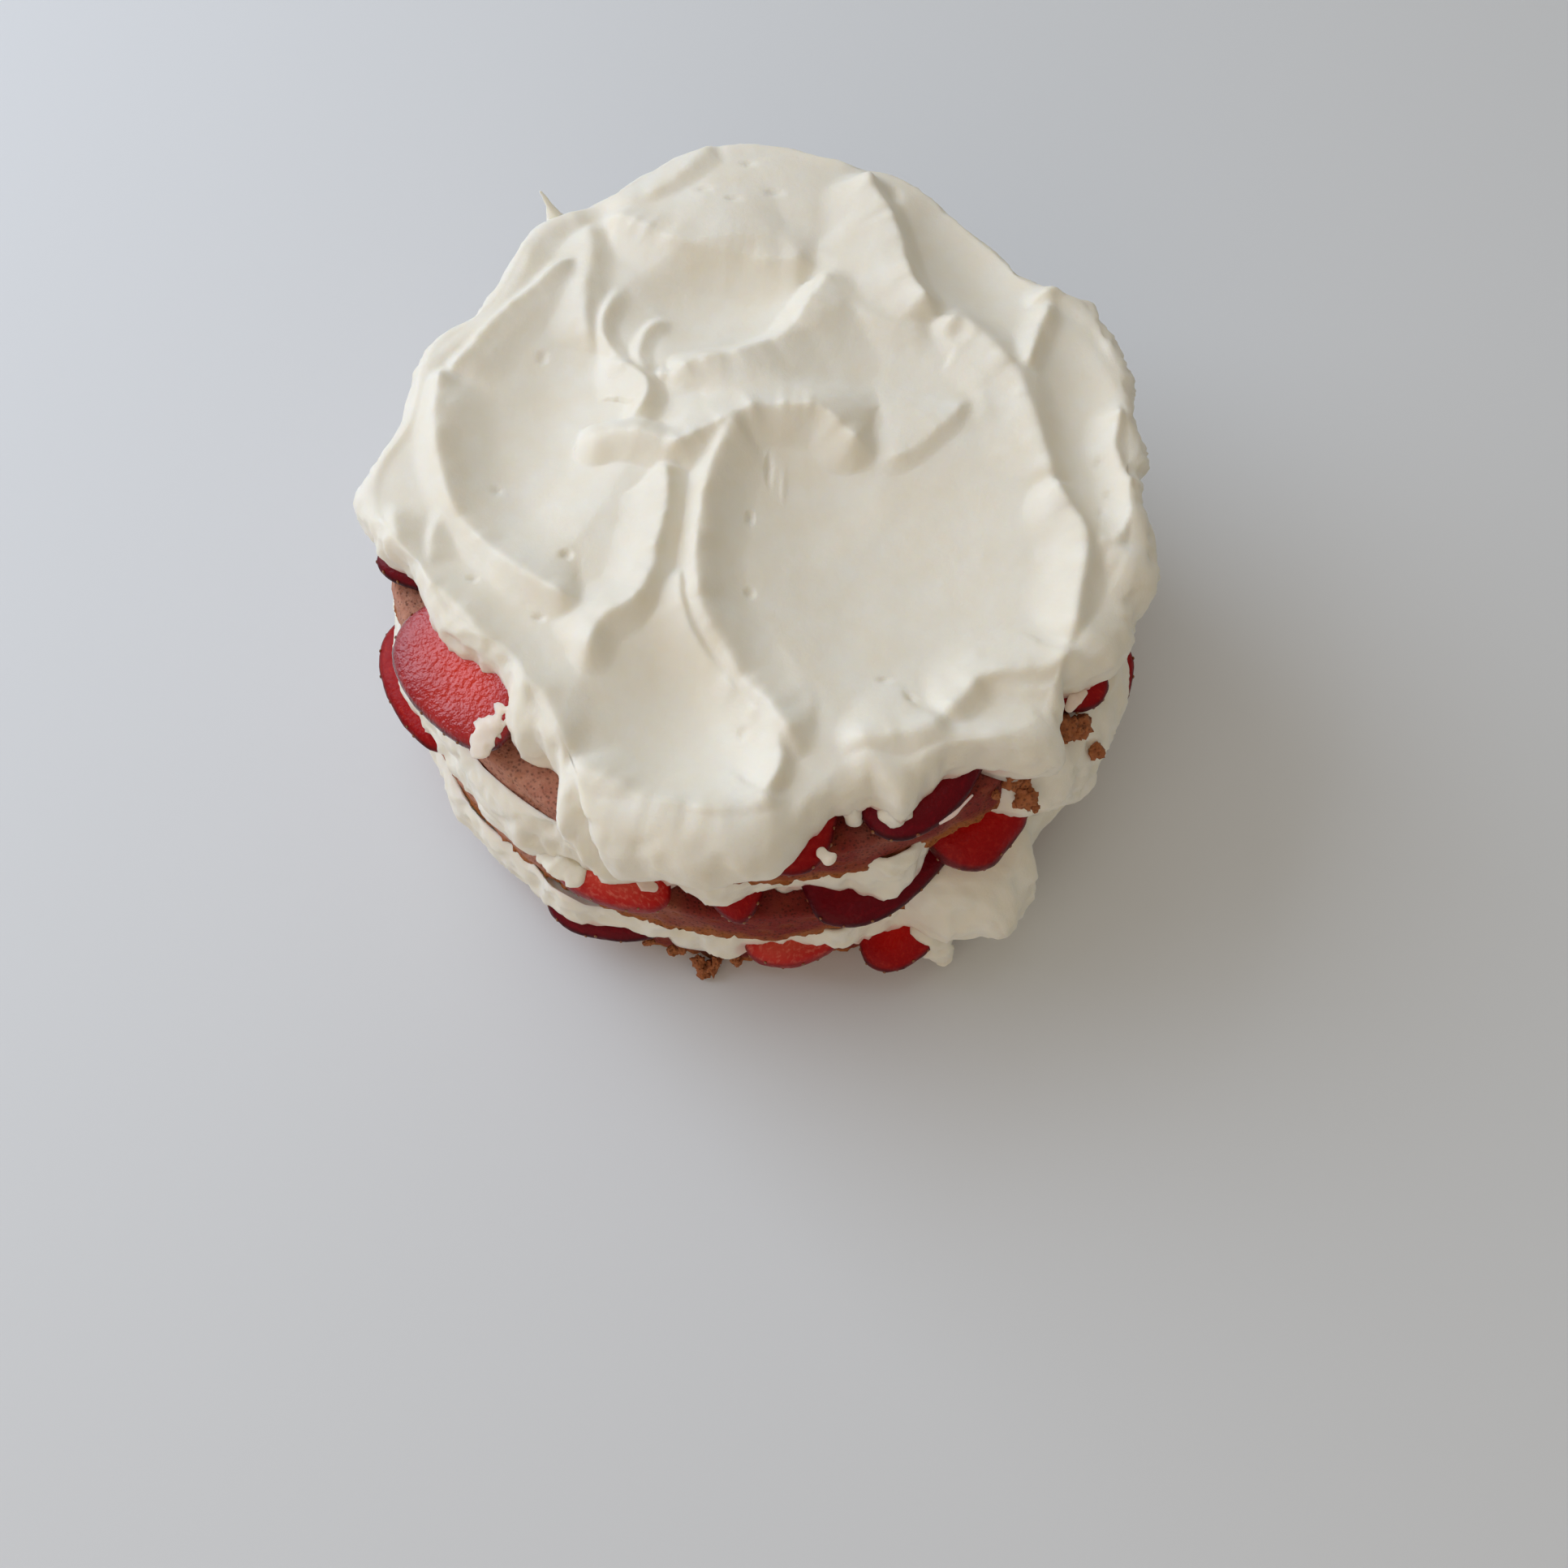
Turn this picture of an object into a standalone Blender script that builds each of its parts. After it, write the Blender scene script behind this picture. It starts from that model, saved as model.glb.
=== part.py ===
"""Strawberry shortcake: three round sponges, each under a ring of strawberry slices and whipped cream.

Sizes are in millimetres and become metres through MM when a mesh is made. The origin is on the surface that
the cake stands on, under its middle, and +Z is up. Azimuths are in degrees, counter-clockwise from +X, so the
front of the cake is at -90.
"""

import math
from dataclasses import dataclass

import bmesh
import bpy
import numpy as np

MM = 0.001
GAP = 0.3  # between two pieces that touch

# Layers, from the surface up
SPONGE_THICKNESS = 12.0
LOWER_FILLING_DEPTH = 15.0
UPPER_FILLING_DEPTH = 19.0
SPONGE_TAPER = 1.8  # how much further in the top edge of a sponge is than its bottom edge
SPONGE_EDGE_ROUND = 1.4
SPONGE_CRAG = 0.7  # depth of the broken crust along a bottom edge
SPONGE_CLEARANCE = 1.4  # from a sponge's side to the cream that laps over it
# Cream that reaches past the edge below it sinks over that edge.
LAP_START, LAP_STEEPNESS, DEEPEST_LAP = 1.2, 2.2, 8.5
RISEN_SHARE = 0.35  # how far a filling rises past the edge above it, as a share of how far it sinks

BOTTOM_FLOOR = 0.0
MIDDLE_FLOOR = BOTTOM_FLOOR + SPONGE_THICKNESS + LOWER_FILLING_DEPTH
TOP_FLOOR = MIDDLE_FLOOR + SPONGE_THICKNESS + UPPER_FILLING_DEPTH
CREAM_FLOOR = TOP_FLOOR + SPONGE_THICKNESS + GAP

# Cream on top
CREAM_MIDDLE_HEIGHT = 89.0  # of the smooth dome, before the spatula's marks
CREAM_DOME_FALL = 4.5  # from the middle to the outline
CREAM_DOME_REACH = 84.0
CREST_CALM_PASSES = 10  # how often a crest's line is evened out
CREST_BLEND_POWER = 3.0

# How many triangles the shapes get
CREAM_AROUND = 120
CREAM_TOP_RINGS, CREAM_WALL_RINGS, CREAM_UNDER_RINGS = 40, 12, 3
CREAM_RINGS = CREAM_TOP_RINGS + CREAM_WALL_RINGS + CREAM_UNDER_RINGS
CREAM_KEPT_SHARE = 0.262
FILLING_AROUND = 72
FILLING_KEPT_SHARE = 0.448
SPONGE_AROUND = 52
BERRY_AROUND, BERRY_RINGS = 12, 5

CREAM_COLOUR = "F3EFE0"
SPONGE_COLOUR = "8C4A34"
BERRY_COLOUR = "A81420"


@dataclass(frozen=True)
class Sponge:
    """A round sponge, by its floor's height, its radius there and how far off the cake's axis it lies."""

    name: str
    floor: float
    radius: float
    off_x: float
    off_y: float


@dataclass(frozen=True)
class Berry:
    """A strawberry slice that lies flat: its middle, the azimuth its tip points to, and its size.

    The crown goes from 0, a slice with two flat faces, to 1, a half berry with a round back. A raised slice
    rests on another one, and the droop is how steeply it slopes down outwards, in degrees.
    """

    x: float
    y: float
    heading: float
    length: float
    width: float
    thickness: float = 5.5
    crown: float = 0.0
    raised: float = 0.0
    droop: float = 0.0


@dataclass(frozen=True)
class Crest:
    """A ridge left by the spatula, and how far it takes to fall away on the left and right of its direction.

    Its name says where it lies. Its flanks are straight where hollow is 1, and more hollow the larger it is.
    It keeps its height to its ends where blunt is 1, and fades out there where blunt is 0.
    """

    name: str
    path: tuple
    height: float
    left: float
    right: float
    softness: float = 0.8
    end_taper: float = 6.0
    hollow: float = 1.8
    blunt: float = 0.0


@dataclass(frozen=True)
class Bowl:
    """A hollow pressed by the spatula, or a swelling where its depth is under 0: a turned ellipse."""

    x: float
    y: float
    reach_x: float
    reach_y: float
    turn: float
    depth: float


SPONGES = (
    Sponge("sponge_bottom", BOTTOM_FLOOR, 83.0, 0.0, 0.0),
    Sponge("sponge_middle", MIDDLE_FLOOR, 83.5, -1.0, -1.0),
    Sponge("sponge_top", TOP_FLOOR, 82.3, -0.2, 1.3),
)

# Strawberries that show from the front and sides, and then those round the back, for each layer
BOTTOM_BERRIES = (
    Berry(-33.5, -71.0, -27, 32, 22),
    Berry(9.5, -77.5, -6, 25, 20, 8.0, 0.5),
    Berry(34.0, -76.0, 8, 22, 22, 6.5),
    Berry(75.0, 4.0, 80, 32, 24),
    Berry(55.0, 50.0, 40, 30, 23),
    Berry(8.0, 74.0, 175, 34, 24),
    Berry(-44.0, 60.0, 130, 30, 24, 7.0, 0.4),
    Berry(-74.0, 12.0, -95, 33, 24),
)
MIDDLE_BERRIES = (
    Berry(-73.0, -28.5, -78, 37, 24, 6.0),
    Berry(-30.0, -71.5, -37, 31, 20, 9.0, 0.8),
    Berry(-4.0, -72.0, -80, 25, 17, 7.0, 0.5),
    Berry(27.5, -69.5, 27, 40, 23, 6.5),
    Berry(45.2, -59.4, 140, 30, 24, 9.5, 0.3, 6.8),
    Berry(74.0, -24.0, -78, 30, 25, 6.0),
    Berry(74.0, 18.0, 75, 33, 24),
    Berry(48.0, 58.0, 130, 33, 24),
    Berry(4.0, 74.0, 100, 28, 24, 8.0, 0.7),
    Berry(-38.0, 65.0, 205, 33, 23),
    Berry(-71.0, 25.0, 250, 32, 24),
)
TOP_BERRIES = (
    Berry(-58.5, -41.5, -65, 38, 26, 6.0, droop=14.0),
    Berry(-67.5, -13.5, 190, 27, 20),
    Berry(4.0, -69.0, 165, 31, 24),
    Berry(33.0, -60.0, 32, 33, 24, 6.0),
    Berry(60.0, -35.0, -34, 29, 23),
    Berry(67.0, 6.0, 10, 28, 22),
    Berry(53.0, 46.0, 125, 33, 24),
    Berry(12.0, 68.0, 80, 29, 23),
    Berry(-27.0, 66.0, 200, 33, 24),
    Berry(-54.5, 37.0, 144, 29, 23),
)

# Where each layer of cream ends, as (azimuth, radius)
LOWER_FILLING_OUTLINE = (
    (-170, 86), (-153, 85), (-140, 87.5), (-128, 86), (-119, 89), (-108, 85), (-96, 84.5), (-84, 82),
    (-76, 86), (-72, 84), (-66, 84), (-61, 93), (-53, 98), (-47, 95), (-43, 87), (-35, 85.5), (-24, 88),
    (-10, 85), (6, 88), (22, 84.5), (40, 88), (58, 85), (76, 87), (95, 84), (118, 88), (137, 85), (158, 88),
)
UPPER_FILLING_OUTLINE = (
    (-168, 82.5), (-157, 86), (-144, 83.5), (-128, 85.5), (-115, 84), (-104, 79), (-97, 82), (-88, 78),
    (-80, 77.5), (-75, 79), (-72, 82.5), (-69, 84.5), (-66, 84), (-63, 81), (-59, 77.5), (-52, 80),
    (-47, 86), (-40, 88), (-33, 90), (-24, 88), (-14, 85.5),
    (2, 88), (18, 84), (36, 88), (55, 84), (74, 87.5), (92, 83.5), (112, 88), (130, 84), (150, 87), (172, 84),
)
TOP_CREAM_OUTLINE = (
    (-176, 85), (-168, 80), (-160, 73), (-150, 73), (-138, 68), (-127, 75.5), (-121, 75), (-115, 84),
    (-109, 88), (-103, 86), (-94, 87), (-87, 85), (-80, 77), (-76, 73), (-71, 73.5),
    (-67.5, 78), (-62, 74.5), (-54, 75), (-48, 84), (-42, 86), (-36, 78.5), (-27, 83), (-12, 85), (-1, 81.5),
    (14, 83.5), (24, 87.5), (33, 88), (38, 82), (54, 82), (68, 85.5), (80, 84), (94, 87), (108, 85),
    (116, 80.5), (129, 83), (144, 76), (160, 81), (170, 78),
)
TOP_CREAM_ROLL = (
    (-176, 5), (-160, 3), (-146, 4), (-131, 7), (-118, 7), (-105, 11), (-92, 11), (-80, 8), (-70, 10),
    (-62, 6), (-54, 5), (-46, 7), (-38, 6), (-26, 9), (-14, 8), (10, 5), (32, 6), (60, 3), (90, 3), (120, 4),
    (150, 6),
)

# The spatula's marks on the top, each from the back of the cake or its left towards the viewer or the right
CRESTS = (
    Crest(
        "left bowl outer ridge",
        ((-40.5, 54), (-44.5, 50), (-49.5, 44), (-55.5, 37), (-59, 33), (-62, 27), (-65, 23.5),
         (-67, 20)),
        3.0, 9, 4,
    ),
    Crest(
        "left bowl rim",
        ((-67, 25.5), (-67.5, 19.5), (-67.5, 11), (-66.5, 4), (-64.5, -2.5), (-63, -7.5), (-60.5, -12),
         (-57, -16), (-52, -21), (-47, -25), (-42, -28.5), (-37, -31), (-32.5, -31.5)),
        3.6, 12, 5,
    ),
    Crest(
        "upper left fold",
        ((-37.5, 66), (-46, 63), (-51, 58), (-52.5, 50), (-56, 41.5), (-58.5, 36.5), (-65.5, 29.5),
         (-70.5, 25.5), (-73.5, 20.5)),
        1.6, 6, 10, softness=1.2,
    ),
    Crest(
        "bowl top right",
        ((-40, 64.5), (-38.5, 58.5), (-38, 51.5), (-38.5, 45.5), (-38.5, 39), (-37.5, 33.5),
         (-35.5, 28.5)),
        2.2, 5, 9, softness=1.0,
    ),
    Crest(
        "first tip",
        ((-29.5, 46), (-33.5, 39.5), (-34, 32), (-29, 25), (-25.5, 22), (-23, 20)),
        2.2, 3.2, 2.4, end_taper=8.0, hollow=1.4,
    ),
    Crest(
        "second tip",
        ((-19.5, 38.5), (-22.5, 37), (-25, 34), (-26, 30.5), (-26.5, 26.5), (-24.5, 22.5), (-22.5, 21)),
        1.7, 3.0, 2.4, end_taper=5.0, hollow=1.4,
    ),
    Crest(
        "middle edge",
        ((-35.5, 28), (-31.5, 25.5), (-27, 22.5), (-24, 19), (-24, 13.5), (-29, 10.5)),
        3.0, 4, 12,
    ),
    Crest(
        "upper ridge",
        ((11.5, 52), (13.5, 47.5), (10.5, 42.5), (7.5, 36.5), (5, 32.5), (1.5, 29.5), (-2.5, 27),
         (-11, 24), (-18, 21), (-21, 20)),
        4.2, 20, 5.5, hollow=1.3,
    ),
    Crest(
        "tongue",
        ((-33.5, 6.2), (-30.5, 6.6), (-27, 6.5), (-22.5, 5), (-18.5, 3.5)),
        4.4, 4.6, 4.4, softness=1.5, hollow=1.1, blunt=1.0,
    ),
    Crest(
        "main ridge",
        ((-21.5, 1), (-14, 4.5), (-7.5, 8.5), (-2, 11.5), (6.5, 12.5), (13.5, 11.5), (18, 7.5),
         (24.5, 4.5)),
        4.8, 15, 7, hollow=1.5,
    ),
    Crest(
        "left bowl right wall",
        ((-21.5, 1), (-18, -5), (-18.5, -14), (-19.5, -18.5), (-21, -27), (-25.5, -33.5), (-30.5, -37.5),
         (-32.5, -43.5), (-34.5, -46)),
        4.2, 4, 9, softness=1.0, hollow=1.5,
    ),
    Crest(
        "right bowl left wall",
        ((-2, 12), (-5, 8.5), (-7.5, 4), (-9, -0.5), (-10.5, -6.5), (-11, -12.5), (-11.5, -18.5),
         (-11.5, -24.5), (-11, -30), (-9.5, -35), (-6.5, -39.5), (-3.5, -44.5), (0, -49), (5, -55.5),
         (9, -60.5), (10.5, -63)),
        4.6, 9, 4.5, softness=1.2,
    ),
    Crest(
        "scoop right wall",
        ((-15, -22), (-15, -27.5), (-14, -32.5), (-12, -38), (-8.5, -42.5), (-4.5, -47.5), (0, -52.5),
         (5, -58.5), (5.5, -66.5), (0.5, -72.5)),
        3.2, 3, 9,
    ),
    Crest(
        "scoop front rim",
        ((-35, -63.5), (-27.5, -68), (-22.5, -70.5), (-12.5, -73), (-6, -74.5), (-1, -74), (3.5, -72),
         (6, -67)),
        3.2, 9, 8, softness=1.4,
    ),
    Crest(
        "left rim",
        ((-74.5, -8), (-73.5, -13.5), (-72, -20), (-69.5, -24.5), (-64.5, -28), (-57, -34.5),
         (-53.5, -39), (-50, -42.5), (-47, -46), (-41, -50.5), (-37, -57.5), (-34.5, -64.5)),
        2.6, 8, 6,
    ),
    Crest(
        "back step",
        ((-37, 64.5), (-31.5, 62.5), (-27, 59.5), (-20.5, 56), (-14, 54.5), (-7.5, 53.5), (-2.5, 52.5),
         (3, 52), (8, 52.5), (12, 51.5)),
        3.6, 24, 8, hollow=1.5,
    ),
    Crest(
        "back left rim",
        ((-37.5, 68.5), (-32.5, 68), (-27, 68.5), (-23, 71.5), (-18.5, 75.5), (-16, 79.5), (-9, 83.5)),
        1.8, 8, 5, softness=1.2,
    ),
    Crest(
        "back rim",
        ((-14.5, 82.5), (-10, 84), (-3.5, 85), (4, 85.5), (9.5, 84), (15, 82.5), (19.5, 81), (22, 79)),
        1.5, 4, 5, softness=1.2,
    ),
    Crest(
        "back scoop edge",
        ((20.5, 78.5), (22.5, 70.5), (27.5, 62), (29, 56), (30, 50.5), (33, 43), (36.5, 36.5)),
        5.0, 5, 24, hollow=1.5,
    ),
    Crest(
        "plateau edge",
        ((35.5, 39.5), (42.5, 36.5), (48, 32), (50.5, 28), (55, 20.5), (56.5, 14.5), (58, 8), (59.5, 2),
         (61, -3.5)),
        3.2, 7, 12, softness=1.0,
    ),
    Crest(
        "right bowl right wall",
        ((59.5, 2), (61, -4), (65, -10.5), (66.5, -15), (65.5, -21.5), (64, -28.5), (63, -35.5),
         (62, -39)),
        4.0, 5, 10,
    ),
    Crest(
        "right bowl corner",
        ((63, -34.5), (62, -39), (54.5, -43), (48.5, -43.5), (44, -45), (39, -51.5), (35.5, -55.5)),
        3.6, 5, 10, softness=1.0,
    ),
    Crest(
        "right bowl front",
        ((39, -51.5), (35.5, -55.5), (32, -57), (26, -58), (20.5, -59.5), (17, -61.5)),
        3.6, 8, 12, softness=1.6,
    ),
    Crest(
        "step",
        ((23, 3.5), (27, 4), (31.5, 6), (36, 10), (39.5, 13.5), (42, 17), (43, 21)),
        1.5, 18, 3, hollow=1.3,
    ),
    Crest(
        "scoop end",
        ((14, 50.5), (17.5, 44.5), (22, 39), (27.5, 36.5), (33, 37), (36.5, 40)),
        1.2, 10, 7, softness=1.5,
    ),
    Crest("right flap", ((63, 46.5), (60.5, 41), (58.5, 35.5), (56.5, 29), (54.5, 23.5)), 3.4, 4, 5),
    Crest(
        "back right rim",
        ((56, 44), (60, 46.5), (64.5, 48), (72, 45.5), (77, 39.5), (77.5, 34.5), (76, 29)),
        2.6, 4, 6,
    ),
    Crest(
        "right rim",
        ((76, 21.5), (75, 16), (73.5, 9), (74.5, 4), (76, -2), (76, -7.5), (74.5, -12), (67.5, -14),
         (66, -11.5)),
        3.0, 4, 6,
    ),
    Crest(
        "right roll",
        ((67.5, -15.5), (75.5, -18), (76.5, -23.5), (75.5, -30), (73, -36), (69.5, -39.5), (65, -43.5),
         (59, -46)),
        2.4, 6, 5, softness=1.5,
    ),
    Crest(
        "front right rim",
        ((21, -59), (27.5, -58), (35.5, -57.5), (43, -57.5), (52.5, -56.5), (58.5, -54.5), (59.5, -51)),
        1.8, 6, 6, softness=1.2,
    ),
    Crest(
        "outer left rim",
        ((-75, 19.5), (-76.5, 11.5), (-79.5, 4.5), (-82, -1), (-82.5, -7), (-82, -12.5)),
        1.8, 5, 4,
    ),
)
BOWLS = (
    Bowl(-45, 8, 20, 42, -22, 4.2),
    Bowl(26, -22, 42, 38, -30, 5.8),
    Bowl(8, -6, 20, 16, 20, 1.2),
    Bowl(-12, -54, 24, 21, 15, 6.0),
    Bowl(-8, 42, 27, 15, 14, 4.4),
    Bowl(18, 27, 30, 12, -15, 2.4),
    Bowl(46, 54, 13, 24, 32, 3.6),
    Bowl(68, 12, 10, 26, 8, 2.8),
    Bowl(-2, 74, 42, 22, 0, -4.0),
)


def linear(hex_colour):
    """The linear RGBA of an sRGB hex colour."""
    channels = [int(hex_colour[i : i + 2], 16) / 255 for i in (0, 2, 4)]
    return [c / 12.92 if c <= 0.04045 else ((c + 0.055) / 1.055) ** 2.4 for c in channels] + [1.0]


def make_material(name, hex_colour, roughness, subsurface=0.0):
    """A Principled material, with some light passing through where subsurface is over 0."""
    material = bpy.data.materials.new(name)
    material.use_nodes = True
    shader = material.node_tree.nodes["Principled BSDF"]
    shader.inputs["Base Color"].default_value = linear(hex_colour)
    shader.inputs["Roughness"].default_value = roughness
    shader.inputs["Metallic"].default_value = 0.0
    shader.inputs["Subsurface Weight"].default_value = subsurface
    shader.inputs["Subsurface Scale"].default_value = 3 * MM
    return material


def around(stations, azimuth):
    """A value that eases from one (azimuth, value) station to the next, right round the cake."""
    angles = np.array([a for a, _ in stations], float)
    values = np.array([v for _, v in stations], float)
    angles = np.append(angles, angles[0] + 360)
    values = np.append(values, values[0])
    degrees = (np.degrees(azimuth) - angles[0]) % 360 + angles[0]
    span = np.clip(np.searchsorted(angles, degrees, side="right") - 1, 0, len(angles) - 2)
    share = (degrees - angles[span]) / (angles[span + 1] - angles[span])
    eased = share * share * (3 - 2 * share)
    return values[span] + (values[span + 1] - values[span]) * eased


def ripple(azimuth, counts, seed):
    """An even mix of waves, from -1 to 1, with the given counts of waves round the circle."""
    phases = np.random.default_rng(seed).uniform(0, 2 * math.pi, len(counts))
    return sum(np.sin(n * azimuth + p) for n, p in zip(counts, phases)) / len(counts)


def sponge_edge(sponge, azimuth):
    """The radius of a sponge's widest edge, seen from the cake's axis."""
    return sponge.radius + sponge.off_x * np.cos(azimuth) + sponge.off_y * np.sin(azimuth)


def smooth_path(points, per_span=5):
    """A Catmull-Rom curve through the points, as an array of points."""
    ends = np.array(points, float)
    ends = np.vstack([2 * ends[0] - ends[1], ends, 2 * ends[-1] - ends[-2]])
    curve = []
    for before, here, there, after in zip(ends, ends[1:], ends[2:], ends[3:]):
        for t in np.arange(per_span) / per_span:
            curve.append(
                0.5
                * (
                    2 * here
                    + (there - before) * t
                    + (2 * before - 5 * here + 4 * there - after) * t**2
                    + (3 * here - before - 3 * there + after) * t**3
                )
            )
    return np.array(curve + [ends[-2]])


def ease(share):
    """A smooth step from 0 to 1 as share goes from 0 to 1."""
    share = np.clip(share, 0, 1)
    return share * share * (3 - 2 * share)


def crest_lift(crest, x, y):
    """How far a crest raises the cream at each point."""
    line = smooth_path(crest.path)
    for _ in range(CREST_CALM_PASSES):
        line[1:-1] = (line[:-2] + 2 * line[1:-1] + line[2:]) / 4
    step = np.diff(line, axis=0)
    length = np.hypot(step[:, 0], step[:, 1])
    run = np.append(0, np.cumsum(length))
    off_x = x[:, None] - line[:-1, 0]
    off_y = y[:, None] - line[:-1, 1]
    share = np.clip((off_x * step[:, 0] + off_y * step[:, 1]) / length**2, 0, 1)
    distance = np.hypot(off_x - share * step[:, 0], off_y - share * step[:, 1])
    nearest = distance.argmin(axis=1)
    each = np.arange(len(x))
    share, distance = share[each, nearest], distance[each, nearest]
    turn = step[nearest, 0] * off_y[each, nearest] - step[nearest, 1] * off_x[each, nearest]
    side = turn / (length[nearest] * np.maximum(distance, 1e-6))
    reach = crest.right + (crest.left - crest.right) * (1 + side) / 2
    along = run[nearest] + share * length[nearest]
    to_end = np.minimum(along, run[-1] - along)
    from_end = crest.blunt + (1 - crest.blunt) * ease(to_end / crest.end_taper)
    reach = reach * (crest.blunt + (1 - crest.blunt) * (0.3 + 0.7 * ease(to_end / reach)))
    flank = np.clip(1 - (np.hypot(distance, crest.softness) - crest.softness) / reach, 0, 1)
    return crest.height * from_end * flank**crest.hollow


def bowl_dip(bowl, x, y):
    """How far a bowl lowers the cream at each point."""
    turn = math.radians(bowl.turn)
    along = (x - bowl.x) * math.cos(turn) + (y - bowl.y) * math.sin(turn)
    across = (y - bowl.y) * math.cos(turn) - (x - bowl.x) * math.sin(turn)
    inside = np.clip(1 - (along / bowl.reach_x) ** 2 - (across / bowl.reach_y) ** 2, 0, 1)
    return bowl.depth * inside**1.5


def cream_height(x, y):
    """The height of the top cream's surface above the surface that the cake stands on."""
    dome = CREAM_MIDDLE_HEIGHT - CREAM_DOME_FALL * (x * x + y * y) / CREAM_DOME_REACH**2
    lifts = sum(crest_lift(crest, x, y) ** CREST_BLEND_POWER for crest in CRESTS)
    return dome + lifts ** (1 / CREST_BLEND_POWER) - sum(bowl_dip(bowl, x, y) for bowl in BOWLS)


def lap(outline, edge):
    """How far cream that reaches past a sponge's edge has sunk over it."""
    return np.clip(LAP_STEEPNESS * (outline - edge - LAP_START), 0, DEEPEST_LAP)


def covered(berries, azimuth):
    """1 where a berry lies under the edge of the cream, and 0 well clear of one."""
    cover = np.zeros_like(azimuth)
    for berry in berries:
        middle = math.atan2(berry.y, berry.x)
        tangential = abs(math.sin(math.radians(berry.heading) - middle))
        half_width = berry.width + (berry.length - berry.width) * tangential
        reach = half_width / 2 / math.hypot(berry.x, berry.y) + math.radians(2)
        away = np.abs((azimuth - middle + math.pi) % (2 * math.pi) - math.pi)
        cover = np.maximum(cover, np.clip((reach - away) / math.radians(3) + 1, 0, 1))
    return cover


def place_top_cream(share, azimuth):
    """Where a point of the top cream lies: share runs from the middle, over the edge, to the underside."""
    sponge = SPONGES[2]
    edge = sponge_edge(sponge, azimuth) + SPONGE_CLEARANCE
    outline = around(TOP_CREAM_OUTLINE, azimuth) + 0.4 * ripple(azimuth, (17, 29, 41), 3)
    shoulder = outline - around(TOP_CREAM_ROLL, azimuth)
    sunk = lap(outline, edge) * (1 - covered(TOP_BERRIES, azimuth))
    foot_height = CREAM_FLOOR - sunk
    foot = np.minimum(outline - 2.5, edge + 0.6 + 0 * outline)
    inner = np.minimum(edge, foot - 0.6)

    ring = share * CREAM_RINGS
    top = np.clip(ring / CREAM_TOP_RINGS, 0, 1)
    wall = np.clip((ring - CREAM_TOP_RINGS) / CREAM_WALL_RINGS, 0, 1)
    under = np.clip((ring - CREAM_TOP_RINGS - CREAM_WALL_RINGS) / CREAM_UNDER_RINGS, 0, 1)

    rim_height = cream_height(shoulder * np.cos(azimuth), shoulder * np.sin(azimuth))
    belly_height = foot_height + 0.42 * (rim_height - foot_height)
    turn = wall * math.pi
    upper = shoulder + (outline - shoulder) * np.sin(turn)
    lower = foot + (outline - foot) * np.sin(turn)
    upper_height = belly_height + (rim_height - belly_height) * np.cos(turn)
    lower_height = belly_height + (belly_height - foot_height) * np.cos(turn)
    radius = np.where(turn < math.pi / 2, upper, lower)
    height = np.where(turn < math.pi / 2, upper_height, lower_height)

    radius = np.where(wall == 0, shoulder * top, radius)
    radius = np.where(under > 0, inner * (1 - under) / (1 - 1 / CREAM_UNDER_RINGS), radius)
    x, y = radius * np.cos(azimuth), radius * np.sin(azimuth)
    height = np.where(wall == 0, cream_height(x, y), height)
    height = np.where(under > 0, CREAM_FLOOR, height)
    return np.stack([x, y, height], axis=1)


def filling_rings(floor, depth, below, above, outline, berries, azimuth):
    """The (radius, height) of each ring of a filling, from the middle of its top to that of its underside."""
    low_edge = sponge_edge(below, azimuth) + SPONGE_CLEARANCE
    high_edge = sponge_edge(above, azimuth) + SPONGE_CLEARANCE
    reach = around(outline, azimuth) + 0.4 * ripple(azimuth, (13, 23, 31), int(floor))
    sunk = lap(reach, low_edge) * (1 - covered(berries, azimuth))
    risen = RISEN_SHARE * lap(reach, high_edge)
    top, bottom = floor + depth - GAP, floor + GAP
    high = np.minimum(high_edge, reach - 2.0)
    low = np.minimum(low_edge, reach - 1.5)
    head, foot = top + risen, bottom - sunk
    belly = foot + 0.45 * (head - foot)
    rings = [(0 * reach, top + 0 * reach), (high * 0.6, top + 0 * reach), (high, top + 0 * reach)]
    rings.append((high + 0.4, head + 0.01))
    for turn in np.radians((35, 65, 90, 120, 150)):
        inside = high + 0.4 if turn < math.pi / 2 else low + 0.4
        end = head if turn < math.pi / 2 else foot
        height = belly + abs(math.cos(turn)) * (end - belly)
        rings.append((inside + (reach - inside) * math.sin(turn), height))
    rings.append((low + 0.4, foot - 0.01))
    rings += [(low, bottom + 0 * reach), (low * 0.6, bottom + 0 * reach), (0 * reach, bottom + 0 * reach)]
    return rings


def sponge_rings(sponge, azimuth):
    """The (radius, height) of each ring of a sponge, about its own axis, from the middle of its top down."""
    crag = SPONGE_CRAG * ripple(azimuth, (7, 11, 19, 26), int(sponge.floor) + 5)
    crust = 0.5 * SPONGE_CRAG * ripple(azimuth, (5, 9, 16), int(sponge.floor) + 9)
    top = sponge.floor + SPONGE_THICKNESS + 0 * azimuth
    bottom = sponge.floor + 0 * azimuth
    high = sponge.radius - SPONGE_TAPER - SPONGE_CRAG + crust
    low = sponge.radius - SPONGE_CRAG + crag
    return [
        (0 * high, top),
        (high - SPONGE_EDGE_ROUND, top),
        (high, top - SPONGE_EDGE_ROUND),
        ((high + low) / 2, (top + bottom) / 2),
        (low, bottom + 1.6),
        (low - 1.2, bottom),
        (0 * high, bottom),
    ]


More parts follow.
